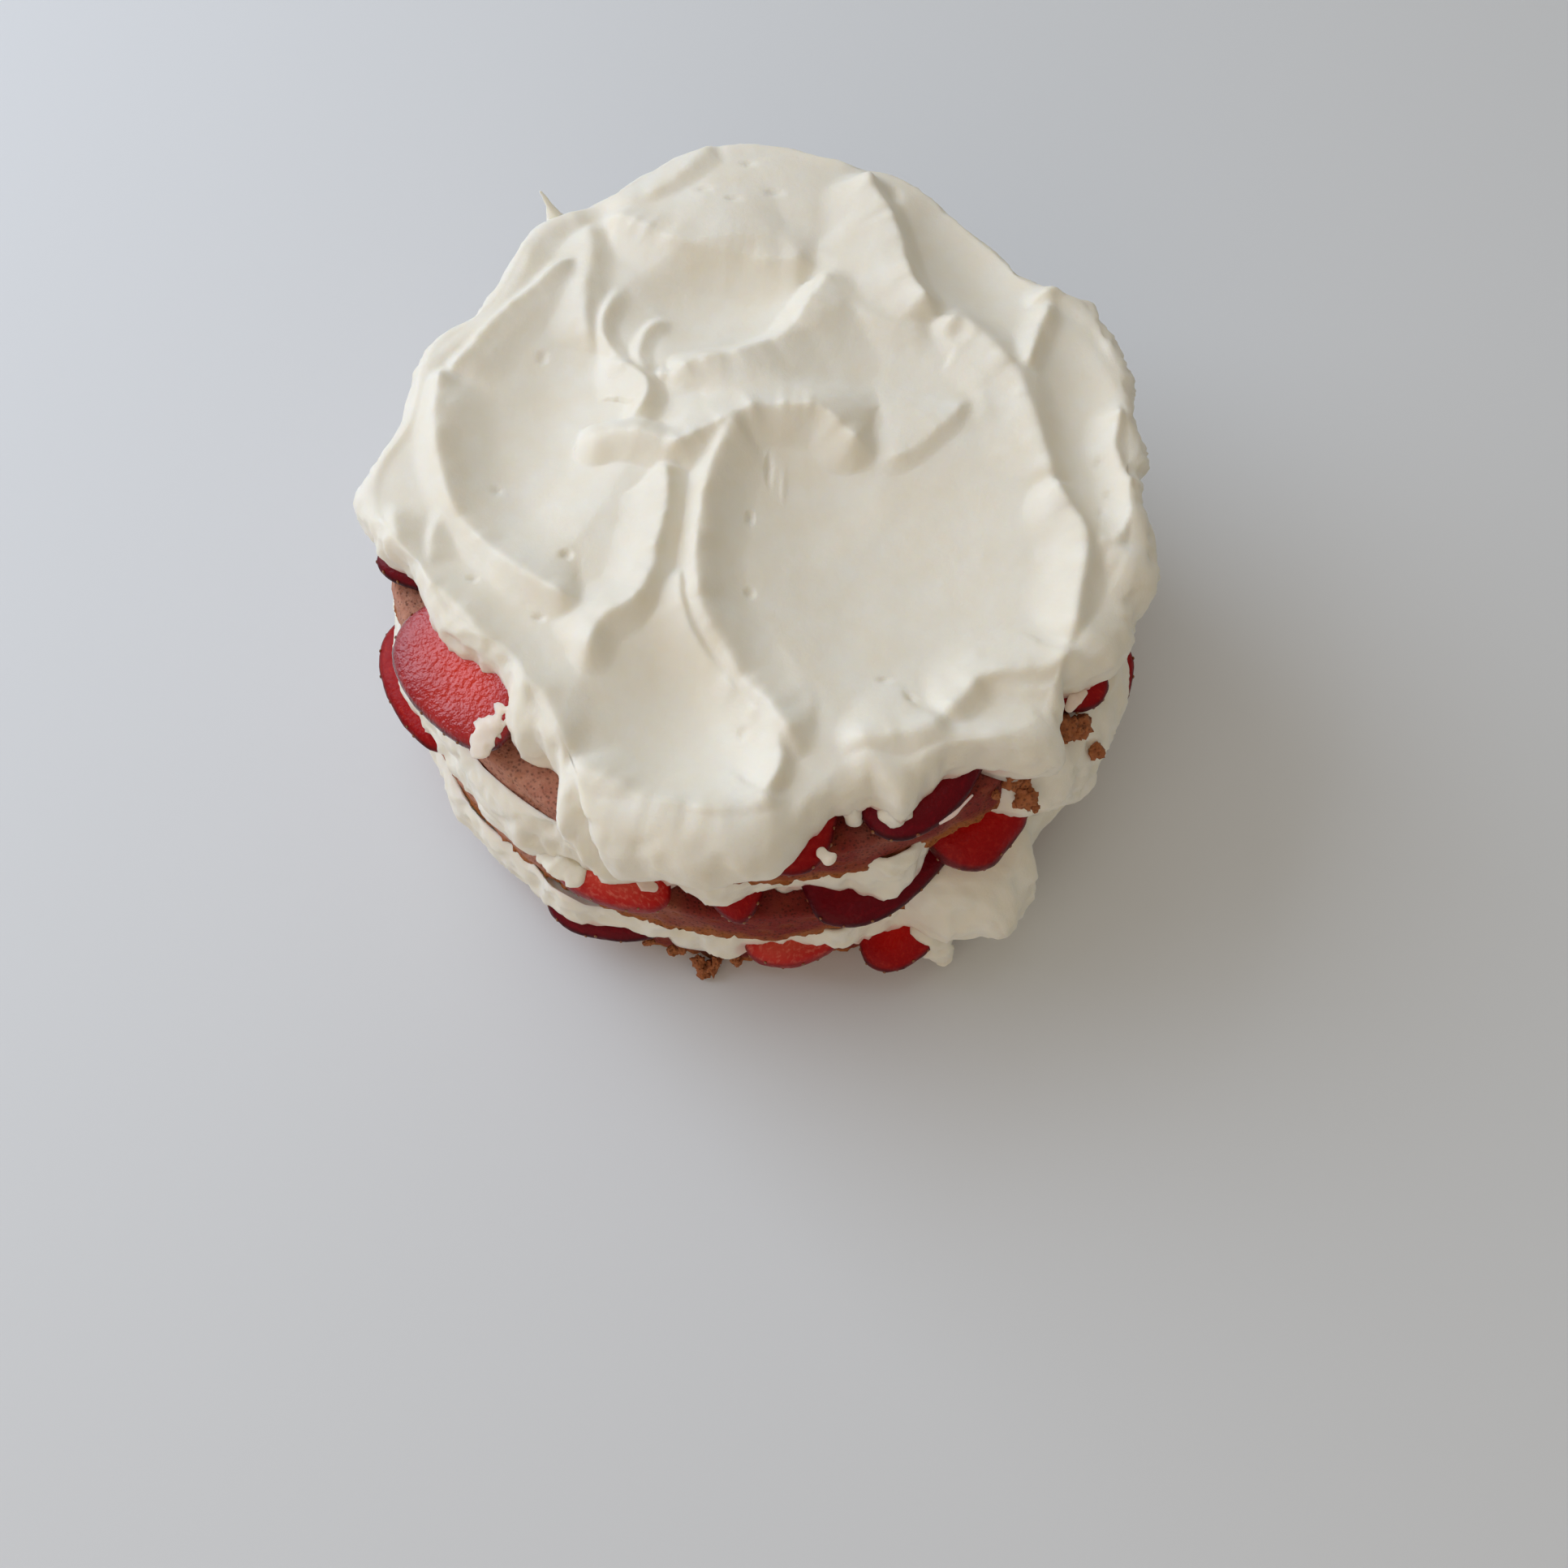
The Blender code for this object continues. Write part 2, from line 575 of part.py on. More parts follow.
def place_berry(berry, floor, grown, share, azimuth):
    """Where a point of a strawberry slice lies, with the slice made larger by grown on every side."""
    rise = math.pi * (0.5 - share)
    flat = np.cos(rise).clip(0) ** 0.45
    half_length = berry.length / 2 + grown
    half_width = berry.width / 2 + grown
    notch = 0.10 * half_length * np.exp(-(((np.abs(azimuth) - math.pi) / 0.45) ** 2))
    along = flat * (half_length * np.cos(azimuth) + notch)
    taper = 1 - 0.30 * np.cos(azimuth)
    across = flat * half_width * np.sin(azimuth) * taper
    top = np.sin(rise) * (1 + berry.crown * (0.6 - 0.6 * (along / half_length) ** 2))
    level = np.where(rise > 0, top, np.sin(rise))
    heading = math.radians(berry.heading)
    x = berry.x + along * math.cos(heading) - across * math.sin(heading)
    y = berry.y + along * math.sin(heading) + across * math.cos(heading)
    outwards = (x * berry.x + y * berry.y) / math.hypot(berry.x, berry.y)
    slope = math.tan(math.radians(berry.droop)) * (outwards.max() - outwards)
    height = floor + berry.raised + berry.thickness / 2 + level * (berry.thickness / 2 + grown) + slope
    return np.stack([x, y, height], axis=1)


def pushed_sphere(name, count_around, count_rings, place, material):
    """A UV sphere whose points are moved by place(share, azimuth), where share runs from 0, its top, to 1."""
    work = bmesh.new()
    bmesh.ops.create_uvsphere(work, u_segments=count_around, v_segments=count_rings, radius=1)
    unit = np.array([vertex.co for vertex in work.verts])
    share = np.rint(np.arccos(np.clip(unit[:, 2], -1, 1)) / math.pi * count_rings) / count_rings
    points = place(share, np.arctan2(unit[:, 1], unit[:, 0]))
    for vertex, point in zip(work.verts, points):
        vertex.co = point * MM
    bmesh.ops.triangulate(work, faces=work.faces)
    bmesh.ops.recalc_face_normals(work, faces=work.faces)
    mesh = bpy.data.meshes.new(name)
    work.to_mesh(mesh)
    work.free()
    mesh.materials.append(material)
    mesh.shade_smooth()
    mesh.set_sharp_from_angle(angle=math.radians(60))
    thing = bpy.data.objects.new(name, mesh)
    bpy.context.scene.collection.objects.link(thing)
    return thing


def ringed_solid(name, count_around, make_rings, material):
    """A closed solid of revolution-like rings: make_rings(azimuth) gives each ring's radius and height."""
    count = len(make_rings(np.zeros(1))) - 1

    def place(share, azimuth):
        rings = make_rings(azimuth)
        which = np.rint(share * count).astype(int)
        each = np.arange(len(azimuth))
        radius = np.array([ring[0] for ring in rings])[which, each]
        height = np.array([ring[1] for ring in rings])[which, each]
        return np.stack([radius * np.cos(azimuth), radius * np.sin(azimuth), height], axis=1)

    return pushed_sphere(name, count_around, count, place, material)


def make_sponge(sponge, material):
    """A sponge at its place in the cake."""
    thing = ringed_solid(
        sponge.name, SPONGE_AROUND, lambda azimuth: sponge_rings(sponge, azimuth), material
    )
    thing.location = (sponge.off_x * MM, sponge.off_y * MM, 0)
    return thing


def make_berries(layer, berries, floor, material):
    """The slices of one layer, and a collection of slightly larger ones that cut their beds in the cream."""
    cutters = bpy.data.collections.new(f"beds_{layer}")
    bpy.context.scene.collection.children.link(cutters)
    for number, berry in enumerate(berries, start=1):
        name = f"berry_{layer}_{number}"
        for grown in (0.0, GAP + 0.05):
            thing = pushed_sphere(
                name if not grown else f"bed_{layer}_{number}",
                BERRY_AROUND,
                BERRY_RINGS,
                lambda share, azimuth: place_berry(berry, floor, grown, share, azimuth),
                material,
            )
            if grown:
                bpy.context.scene.collection.objects.unlink(thing)
                cutters.objects.link(thing)
                thing.hide_render = True
                thing.display_type = "WIRE"
    return cutters


def thin_out(thing, kept_share):
    """Takes triangles out of a solid where it is smooth, so that its crests keep their points."""
    thin = thing.modifiers.new("thin", "DECIMATE")
    thin.ratio = kept_share


def cut_beds(thing, cutters):
    """Cuts the berries' beds out of a layer of cream."""
    cut = thing.modifiers.new("beds", "BOOLEAN")
    cut.operation = "DIFFERENCE"
    cut.solver = "EXACT"
    cut.operand_type = "COLLECTION"
    cut.collection = cutters


def make_filling(name, below, above, outline, berries, cutters, material):
    """The cream between two sponges, with the beds of the berries that lie on the lower one."""
    floor = below.floor + SPONGE_THICKNESS
    thing = ringed_solid(
        name,
        FILLING_AROUND,
        lambda azimuth: filling_rings(
            floor, above.floor - floor, below, above, outline, berries, azimuth
        ),
        material,
    )
    thin_out(thing, FILLING_KEPT_SHARE)
    cut_beds(thing, cutters)
    return thing


def make_top_cream(cutters, material):
    """The cream on top, modelled finely and then thinned."""
    thing = pushed_sphere("cream_top", CREAM_AROUND, CREAM_RINGS, place_top_cream, material)
    thin_out(thing, CREAM_KEPT_SHARE)
    cut_beds(thing, cutters)
    return thing


def main():
    """Builds the cake from the bottom up."""
    for thing in list(bpy.data.objects):
        bpy.data.objects.remove(thing)
    cream = make_material("whipped_cream", CREAM_COLOUR, 0.55, 0.3)
    crumb = make_material("sponge_crust", SPONGE_COLOUR, 0.85)
    berry = make_material("strawberry", BERRY_COLOUR, 0.25, 0.2)
    bottom, middle, top = SPONGES
    for sponge in SPONGES:
        make_sponge(sponge, crumb)
    rest = SPONGE_THICKNESS + GAP
    bottom_beds = make_berries("bottom", BOTTOM_BERRIES, bottom.floor + rest, berry)
    middle_beds = make_berries("middle", MIDDLE_BERRIES, middle.floor + rest, berry)
    top_beds = make_berries("top", TOP_BERRIES, top.floor + rest, berry)
    make_filling("cream_lower", bottom, middle, LOWER_FILLING_OUTLINE, BOTTOM_BERRIES, bottom_beds, cream)
    make_filling("cream_upper", middle, top, UPPER_FILLING_OUTLINE, MIDDLE_BERRIES, middle_beds, cream)
    make_top_cream(top_beds, cream)


main()
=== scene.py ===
"""Strawberry shortcake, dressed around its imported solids.

The classes build, from the surface up, three sponges, the strawberry slices and whipped cream between them,
and the thick swirled cream on top with its drips, dabs and crumbs. Sizes are in millimetres, and MM turns
them to metres where a mesh is made. Azimuths go counter-clockwise from +X, and the front is at -90 degrees.
"""

from __future__ import annotations

import itertools
import logging
import math
from dataclasses import dataclass, field
from enum import Enum
from typing import Any, Iterable, Sequence

import bpy
import numpy as np
from mathutils import Matrix

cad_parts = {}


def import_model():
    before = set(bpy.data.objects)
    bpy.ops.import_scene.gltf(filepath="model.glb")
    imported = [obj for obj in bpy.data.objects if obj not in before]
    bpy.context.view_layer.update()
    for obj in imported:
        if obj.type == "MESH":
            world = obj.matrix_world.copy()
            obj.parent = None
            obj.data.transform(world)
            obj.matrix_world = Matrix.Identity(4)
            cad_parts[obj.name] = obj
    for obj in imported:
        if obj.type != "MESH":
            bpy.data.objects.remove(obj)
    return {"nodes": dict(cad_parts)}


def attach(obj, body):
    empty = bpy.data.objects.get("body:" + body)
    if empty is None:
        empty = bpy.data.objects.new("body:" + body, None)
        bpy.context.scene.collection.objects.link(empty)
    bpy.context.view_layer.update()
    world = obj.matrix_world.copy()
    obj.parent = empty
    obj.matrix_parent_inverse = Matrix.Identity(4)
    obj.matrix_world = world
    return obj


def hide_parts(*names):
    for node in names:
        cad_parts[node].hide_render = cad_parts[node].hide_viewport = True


Array = np.ndarray
Pairs = Sequence[tuple[float, float]]

MM = 0.001
BODY = "root"
log = logging.getLogger("shortcake")

SPONGE_THICKNESS = 12.0
GAP = 0.3
BOTTOM_FLOOR, MIDDLE_FLOOR, TOP_FLOOR = 0.0, 27.0, 58.0
CREAM_FLOOR = TOP_FLOOR + SPONGE_THICKNESS + GAP
SPONGE_CLEARANCE = 1.4
STAIN_STRENGTH = 0.42


# Numbers that the pieces share.


def ease(low: float, high: float, value: Array) -> Array:
    """A smooth step from 0 at low to 1 at high.

    Args:
        low: where the step starts.
        high: where it ends; it may be under low.
        value: the values to step.

    Returns:
        The step at each value.
    """
    share = np.clip((value - low) / (high - low), 0, 1)
    return share * share * (3 - 2 * share)


def around(stations: Pairs, azimuth: Array) -> Array:
    """A value that eases from one station to the next, right round the cake.

    Args:
        stations: (azimuth in degrees, value) pairs in order.
        azimuth: the azimuths to read, in radians.

    Returns:
        The value at each azimuth.
    """
    angles = np.array([a for a, _ in stations], float)
    values = np.array([v for _, v in stations], float)
    angles = np.append(angles, angles[0] + 360)
    values = np.append(values, values[0])
    degrees = (np.degrees(azimuth) - angles[0]) % 360 + angles[0]
    span = np.clip(np.searchsorted(angles, degrees, side="right") - 1, 0, len(angles) - 2)
    share = (degrees - angles[span]) / (angles[span + 1] - angles[span])
    return values[span] + (values[span + 1] - values[span]) * share * share * (3 - 2 * share)


def polar(radius: Array, azimuth: Array, height: Array) -> Array:
    """Points round the cake's axis, with x, y and z on the last axis."""
    return np.stack([radius * np.cos(azimuth), radius * np.sin(azimuth), height], axis=-1)


def azimuths(count: int) -> Array:
    """This many azimuths right round the cake, in radians."""
    return 2 * math.pi * np.arange(count) / count


def evened(values: Array, passes: int) -> Array:
    """Values around the cake, evened out with their neighbours.

    Args:
        values: the values, with the way around on the last axis.
        passes: how many times they are evened.

    Returns:
        The evened values.
    """
    for _ in range(passes):
        values = (np.roll(values, 1, axis=-1) + 2 * values + np.roll(values, -1, axis=-1)) / 4
    return values


def smooth_path(points: Sequence[Sequence[float]], per_span: int = 6) -> Array:
    """A Catmull-Rom curve.

    Args:
        points: the points that the curve goes through.
        per_span: how many points it gets from one of them to the next.

    Returns:
        The curve's points, one a row.
    """
    ends = np.array(points, float)
    ends = np.vstack([2 * ends[0] - ends[1], ends, 2 * ends[-1] - ends[-2]])
    curve = []
    for before, here, there, after in zip(ends, ends[1:], ends[2:], ends[3:]):
        for t in np.arange(per_span) / per_span:
            curve.append(
                0.5
                * (
                    2 * here
                    + (there - before) * t
                    + (2 * before - 5 * here + 4 * there - after) * t**2
                    + (3 * here - before - 3 * there + after) * t**3
                )
            )
    return np.array(curve + [ends[-2]])


@dataclass(frozen=True)
class Noise:
    """Smooth seeded noise in space, the same on every run."""

    seed: int
    lattice_side: int = 24
    octave_shift: float = 5.37
    gain: float = 1.6

    def at(self, points: Array, cell: float, octaves: int = 1) -> Array:
        """Reads the noise.

        Args:
            points: points in millimetres, with x, y and z on the last axis.
            cell: the size of its lumps, in millimetres.
            octaves: how many finer layers it has, each half the size and half as strong.

        Returns:
            A value from -1 to 1 for each point.
        """
        side = self.lattice_side
        lattice = np.random.default_rng(self.seed).uniform(-1, 1, (side, side, side))
        total, weight = np.zeros(points.shape[:-1]), 0.0
        for octave in range(octaves):
            spot = points / cell * 2**octave + self.octave_shift * (octave + 1)
            low = np.floor(spot).astype(int)
            part = spot - low
            part = part * part * (3 - 2 * part)
            for corner in itertools.product((0, 1), repeat=3):
                index = (low + corner) % side
                share = np.prod(np.where(corner, part, 1 - part), axis=-1)
                total += 0.5**octave * share * lattice[index[..., 0], index[..., 1], index[..., 2]]
            weight += 0.5**octave
        return total / weight * self.gain


# Meshes.


def ring_mesh(
    name: str, rings: Array, material: bpy.types.Material, marks: dict[str, Array]
) -> bpy.types.Object:
    """A closed skin over rings of points, whose first and last rings each shrink to one point.

    Args:
        name: the object's name.
        rings: an array of rings by points by xyz, in millimetres.
        material: its material.
        marks: numbers for each point that the material reads, by name, in the shape of the rings.

    Returns:
        The object, linked to the scene.
    """
    count, each = rings.shape[:2]
    inner = rings[1:-1].reshape(-1, 3)
    points = np.vstack([rings[0, :1], inner, rings[-1, :1]])
    here = np.arange(each)
    there = (here + 1) % each
    faces: list[tuple[int, ...]] = [(0, 1 + a, 1 + b) for a, b in zip(here, there)]
    rows = np.arange(count - 3)[:, None] * each + 1
    quads = np.stack([rows + here, rows + here + each, rows + there + each, rows + there], axis=-1)
    faces += [tuple(quad) for quad in quads.reshape(-1, 4).tolist()]
    last, end = 1 + (count - 3) * each, len(points) - 1
    faces += [(last + a, end, last + b) for a, b in zip(here.tolist(), there.tolist())]
    mesh = bpy.data.meshes.new(name)
    mesh.from_pydata((points * MM).tolist(), [], faces)
    for mark, values in marks.items():
        flat = np.concatenate([values[0, :1], values[1:-1].reshape(-1), values[-1, :1]])
        mesh.attributes.new(mark, "FLOAT", "POINT").data.foreach_set("value", flat.astype(np.float32))
    return shown(name, mesh, material)


def shown(name: str, mesh: bpy.types.Mesh, material: bpy.types.Material) -> bpy.types.Object:
    """Links a smooth-shaded mesh to the scene, facing outwards.

    Args:
        name: the object's name.
        mesh: its closed mesh.
        material: its material.

    Returns:
        The object.
    """
    mesh.validate()
    mesh.update()
    corners = np.empty(len(mesh.vertices) * 3)
    mesh.vertices.foreach_get("co", corners)
    mesh.calc_loop_triangles()
    triangles = np.empty(len(mesh.loop_triangles) * 3, np.int32)
    mesh.loop_triangles.foreach_get("vertices", triangles)
    volume = np.linalg.det(corners.reshape(-1, 3)[triangles.reshape(-1, 3)]).sum()
    if volume < 0:
        mesh.flip_normals()
    mesh.shade_smooth()
    mesh.materials.append(material)
    thing = bpy.data.objects.new(name, mesh)
    bpy.context.scene.collection.objects.link(thing)
    return thing


def blob_mesh(
    name: str, blobs: Iterable[tuple[Array, Array]], material: bpy.types.Material
) -> bpy.types.Object:
    """One mesh of many closed lumps.

    Args:
        name: the object's name.
        blobs: the points, in millimetres, and faces of each lump.
        material: its material.

    Returns:
        The object, linked to the scene.
    """
    points: list[Array] = []
    faces: list[list[int]] = []
    start = 0
    for blob_points, blob_faces in blobs:
        points.append(blob_points)
        faces += (blob_faces + start).tolist()
        start += len(blob_points)
    mesh = bpy.data.meshes.new(name)
    mesh.from_pydata((np.vstack(points) * MM).tolist(), [], faces)
    return shown(name, mesh, material)


def unit_ball(around_count: int, ring_count: int) -> tuple[Array, Array]:
    """A ball of triangles.

    Args:
        around_count: how many points it has round its waist.
        ring_count: how many rings of points it has between its poles.

    Returns:
        Its points, one a row and 1 from its middle, and its faces.
    """
    rise = (math.pi * np.arange(1, ring_count + 1) / (ring_count + 1))[:, None]
    turn = azimuths(around_count)
    rings = polar(np.sin(rise), turn, np.cos(rise) + 0 * turn)
    points = np.vstack([[0, 0, 1], rings.reshape(-1, 3), [0, 0, -1]])
    here = np.arange(around_count)
    there = (here + 1) % around_count
    faces = [np.stack([0 * here, 1 + here, 1 + there], axis=1)]
    for row in range(ring_count - 1):
        a, b = 1 + row * around_count + here, 1 + row * around_count + there
        faces += [np.stack([a, a + around_count, b + around_count], axis=1)]
        faces += [np.stack([a, b + around_count, b], axis=1)]
    last = 1 + (ring_count - 1) * around_count
    faces.append(np.stack([last + here, 0 * here + len(points) - 1, last + there], axis=1))
    return points, np.vstack(faces)


# Materials.


def linear(hex_colour: str) -> tuple[float, float, float, float]:
    """Turns a colour linear.

    Args:
        hex_colour: an sRGB colour as six hexadecimal digits.

    Returns:
        Its linear red, green and blue, with an alpha of 1.
    """
    channels = [int(hex_colour[i : i + 2], 16) / 255 for i in (0, 2, 4)]
    red, green, blue = (c / 12.92 if c <= 0.04045 else ((c + 0.055) / 1.055) ** 2.4 for c in channels)
    return red, green, blue, 1.0


def add_node(tree: bpy.types.NodeTree, kind: str, inputs: dict[str, Any], **settings: Any) -> bpy.types.Node:
    """Adds a node with its settings and links.

    Args:
        tree: the material's node tree.
        kind: the node's type without its prefix, such as Mix.
        inputs: what each input takes: a value, or the socket that feeds it.
        settings: properties of the node itself, which decide which inputs it has.

    Returns:
        The node.
    """
    node = tree.nodes.new(f"ShaderNode{kind}")
    for name, value in settings.items():
        setattr(node, name, value)
    for name, value in inputs.items():
        if isinstance(value, bpy.types.NodeSocket):
            tree.links.new(value, node.inputs[name])
        else:
            node.inputs[name].default_value = value
    return node


def new_material(
    name: str, values: dict[str, Any]
) -> tuple[bpy.types.Material, bpy.types.NodeTree, bpy.types.Node, bpy.types.NodeSocket]:
    """A Principled material with fixed values on its shader.

    Args:
        name: the material's name.
        values: values of the shader's inputs.

    Returns:
        The material, its node tree, its shader and the place of each point on the object.
    """
    material = bpy.data.materials.new(name)
    material.use_nodes = True
    tree = material.node_tree
    shader = tree.nodes["Principled BSDF"]
    for socket, value in values.items():
        shader.inputs[socket].default_value = value
    return material, tree, shader, add_node(tree, "TexCoord", {}).outputs["Object"]


@dataclass(frozen=True)
class WhippedCreamFinish:
    """Dairy cream whipped to soft peaks: a thick foam, so light spreads a few millimetres and edges glow.

    Its bubbles are far under a millimetre and give a soft matt sheen; the grain shows where the foam tears.
    """

    light: str = "F7F5EC"
    warm: str = "F3EAD6"
    stained: str = "E6A6A0"
    roughness: float = 0.48
    ior: float = 1.36
    spread_mm: float = 1.6
    grain_mm: float = 0.9
    swell_mm: float = 7.0

    def make(self) -> bpy.types.Material:
        """Builds the material.

        Returns:
            The material.
        """
        material, tree, shader, place = new_material(
            "whipped_cream",
            {
                "Roughness": self.roughness,
                "IOR": self.ior,
                "Subsurface Weight": 0.5,
                "Subsurface Radius": (1.0, 0.86, 0.62),
                "Subsurface Scale": self.spread_mm * MM,
            },
        )
        scale = 1 / (self.swell_mm * MM)
        swell = add_node(tree, "TexNoise", {"Scale": scale, "Detail": 2.0, "Vector": place}).outputs["Fac"]
        shades = {"A": linear(self.light), "B": linear(self.warm), "Factor": swell}
        tint = add_node(tree, "Mix", shades, data_type="RGBA").outputs["Result"]
        stain = add_node(tree, "Attribute", {}, attribute_name="stain").outputs["Fac"]
        shades = {"A": tint, "B": linear(self.stained), "Factor": stain}
        blush = add_node(tree, "Mix", shades, data_type="RGBA").outputs["Result"]
        tree.links.new(blush, shader.inputs["Base Color"])
        # Real bubbles are about 0.05 mm; the grain is drawn at the size of the small tears that show.
        scale = 1 / (self.grain_mm * MM)
        tears = {"Scale": scale, "Detail": 3.0, "Roughness": 0.6, "Vector": place}
        grain = add_node(tree, "TexNoise", tears).outputs["Fac"]
        bump = add_node(tree, "Bump", {"Strength": 0.3, "Distance": 0.25 * MM, "Height": grain})
        tree.links.new(bump.outputs["Normal"], shader.inputs["Normal"])
        return material


@dataclass(frozen=True)
class SpongeFinish:
    """Baked sponge: a thin mauve-brown crust with fine pores, and orange-brown crumb where the edge broke."""

    crust: str = "E0AA90"
    crust_dark: str = "9E5A45"
    soaked: str = "82221A"
    broken: str = "8E4420"
    broken_light: str = "BC7436"
    roughness: float = 0.82
    pore_mm: float = 0.9
    crumb_mm: float = 1.3
    mottle_mm: float = 2.2

    def make(self) -> bpy.types.Material:
        """Builds the material.

        Returns:
            The material.
        """
        material, tree, shader, place = new_material(
            "sponge_crust",
            {
                "Roughness": self.roughness,
                "IOR": 1.45,
                "Subsurface Weight": 0.12,
                "Subsurface Radius": (1.0, 0.5, 0.25),
                "Subsurface Scale": 1.0 * MM,
            },
        )
        spots = {"Scale": 1 / (self.mottle_mm * MM), "Detail": 4.0, "Vector": place}
        mottle = add_node(tree, "TexNoise", spots).outputs["Fac"]
        shades = {"A": linear(self.crust_dark), "B": linear(self.crust), "Factor": mottle}
        crust = add_node(tree, "Mix", shades, data_type="RGBA").outputs["Result"]
        juice = add_node(tree, "Attribute", {}, attribute_name="soaked").outputs["Fac"]
        shades = {"A": crust, "B": linear(self.soaked), "Factor": juice}
        wetted = add_node(tree, "Mix", shades, data_type="RGBA").outputs["Result"]
        spots = {"Scale": 1 / (self.crumb_mm * MM), "Detail": 4.0, "Roughness": 0.65, "Vector": place}
        grain = add_node(tree, "TexNoise", spots).outputs["Fac"]
        shades = {"A": linear(self.broken), "B": linear(self.broken_light), "Factor": grain}
        crumb = add_node(tree, "Mix", shades, data_type="RGBA").outputs["Result"]
        torn = add_node(tree, "Attribute", {}, attribute_name="torn").outputs["Fac"]
        shades = {"A": wetted, "B": crumb, "Factor": torn}
        skin = add_node(tree, "Mix", shades, data_type="RGBA").outputs["Result"]
        # Pores are 0.1 to 1 mm across; the finer ones are drawn at the size that shows. Their depth both
        # dents the bump and darkens the colour as painted shade.
        cells = {"Scale": 1 / (self.pore_mm * MM), "Randomness": 1.0, "Vector": place}
        pores = add_node(tree, "TexVoronoi", cells, feature="F1").outputs["Distance"]
        pore_depth_and_shade_range = {"Value": pores, "From Min": 0.12, "From Max": 0.42, "To Min": 0.55, "To Max": 1.0}
        pore_depth_and_shade = add_node(tree, "MapRange", pore_depth_and_shade_range).outputs["Result"]
        # Painted shade: each pore darkens the base colour, down to 0.55 at its middle.
        shades = {"A": skin, "B": pore_depth_and_shade, "Factor": 1.0}
        shaded = add_node(tree, "Mix", shades, data_type="RGBA", blend_type="MULTIPLY").outputs["Result"]
        tree.links.new(shaded, shader.inputs["Base Color"])
        pitted = add_node(tree, "Bump", {"Strength": 0.7, "Distance": 0.5 * MM, "Height": pore_depth_and_shade})
        normal = pitted.outputs["Normal"]
        crumbly = {"Strength": 0.8, "Distance": 0.7 * MM, "Height": grain, "Normal": normal}
        tree.links.new(add_node(tree, "Bump", crumbly).outputs["Normal"], shader.inputs["Normal"])
        return material


@dataclass(frozen=True)
class StrawberryFinish:
    """Ripe strawberry softened in its own syrup: wet see-through flesh, paler fibres and a darker skin."""

    name: str
    core: str
    flesh: str
    fibre: str
    skin: str = "7A0A16"
    fibre_strength: float = 0.35
    wet_lumps: float = 0.25
    wetness: float = 0.14
    roughness: float = 0.42
    juice_ior: float = 1.36
    lump_mm: float = 0.9

    def make(self) -> bpy.types.Material:
        """Builds the material.

        Returns:
            The material.
        """
        material, tree, shader, place = new_material(
            self.name,
            {
                "Roughness": self.roughness,
                "IOR": 1.38,
                "Specular IOR Level": 0.16,
                "Subsurface Weight": 0.12,
                "Subsurface Radius": (1.0, 0.16, 0.1),
                "Subsurface Scale": 1.6 * MM,
                "Coat Weight": self.wetness,
                "Coat Roughness": 0.12,
                "Coat IOR": self.juice_ior,
            },
        )
        out, turn, rim = (
            add_node(tree, "Attribute", {}, attribute_name=mark).outputs["Fac"]
            for mark in ("out", "turn", "skin")
        )
        shades = {"A": linear(self.core), "B": linear(self.flesh), "Factor": out}
        flesh = add_node(tree, "Mix", shades, data_type="RGBA").outputs["Result"]
        # The fibres run from the core to the seeds, about 2 mm apart at the rim of a 24 mm slice.
        spokes = add_node(tree, "CombineXYZ", {"X": turn, "Y": out}).outputs["Vector"]
        streaks = {"Scale": 9.0, "Detail": 2.0, "Distortion": 0.3, "Vector": spokes}
        fibres = add_node(tree, "TexNoise", streaks).outputs["Fac"]
        limits = {"From Min": 0.5, "From Max": 0.72, "To Min": 0.0, "To Max": self.fibre_strength}
        lines = add_node(tree, "MapRange", {"Value": fibres, **limits}).outputs["Result"]
        shades = {"A": flesh, "B": linear(self.fibre), "Factor": lines}
        streaked = add_node(tree, "Mix", shades, data_type="RGBA").outputs["Result"]
        shades = {"A": streaked, "B": linear(self.skin), "Factor": rim}
        whole = add_node(tree, "Mix", shades, data_type="RGBA").outputs["Result"]
        tree.links.new(whole, shader.inputs["Base Color"])
        lumps = {"Scale": 1 / (self.lump_mm * MM), "Detail": 2.0, "Vector": place}
        wet = add_node(tree, "TexNoise", lumps).outputs["Fac"]
        bump = add_node(tree, "Bump", {"Strength": self.wet_lumps, "Distance": 0.8 * MM, "Height": wet})
        for socket in ("Normal", "Coat Normal"):
            tree.links.new(bump.outputs["Normal"], shader.inputs[socket])
        return material


class Cut(Enum):
    """How a strawberry slice looks: soaked dark, plain red, or pale where it was cut near the hull."""

    DARK = StrawberryFinish("strawberry_dark", "7C0612", "640416", "9C1020", "38020B", fibre_strength=0.25)
    RED = StrawberryFinish("strawberry_red", "C0120E", "90050E", "CC3A2A", "4E060C", fibre_strength=0.3)
    PALE = StrawberryFinish("strawberry_pale", "DA5C48", "BC1E1A", "E88C78", "7E0C12", fibre_strength=0.4)
    GLOSSY = StrawberryFinish(
        name="strawberry_glossy",
        core="D8280E",
        flesh="9A041A",
        fibre="D8402C",
        skin="4A0410",
        fibre_strength=0.2,
        wet_lumps=0.5,
        wetness=1.0,
        roughness=0.3,
        juice_ior=1.5,
    )


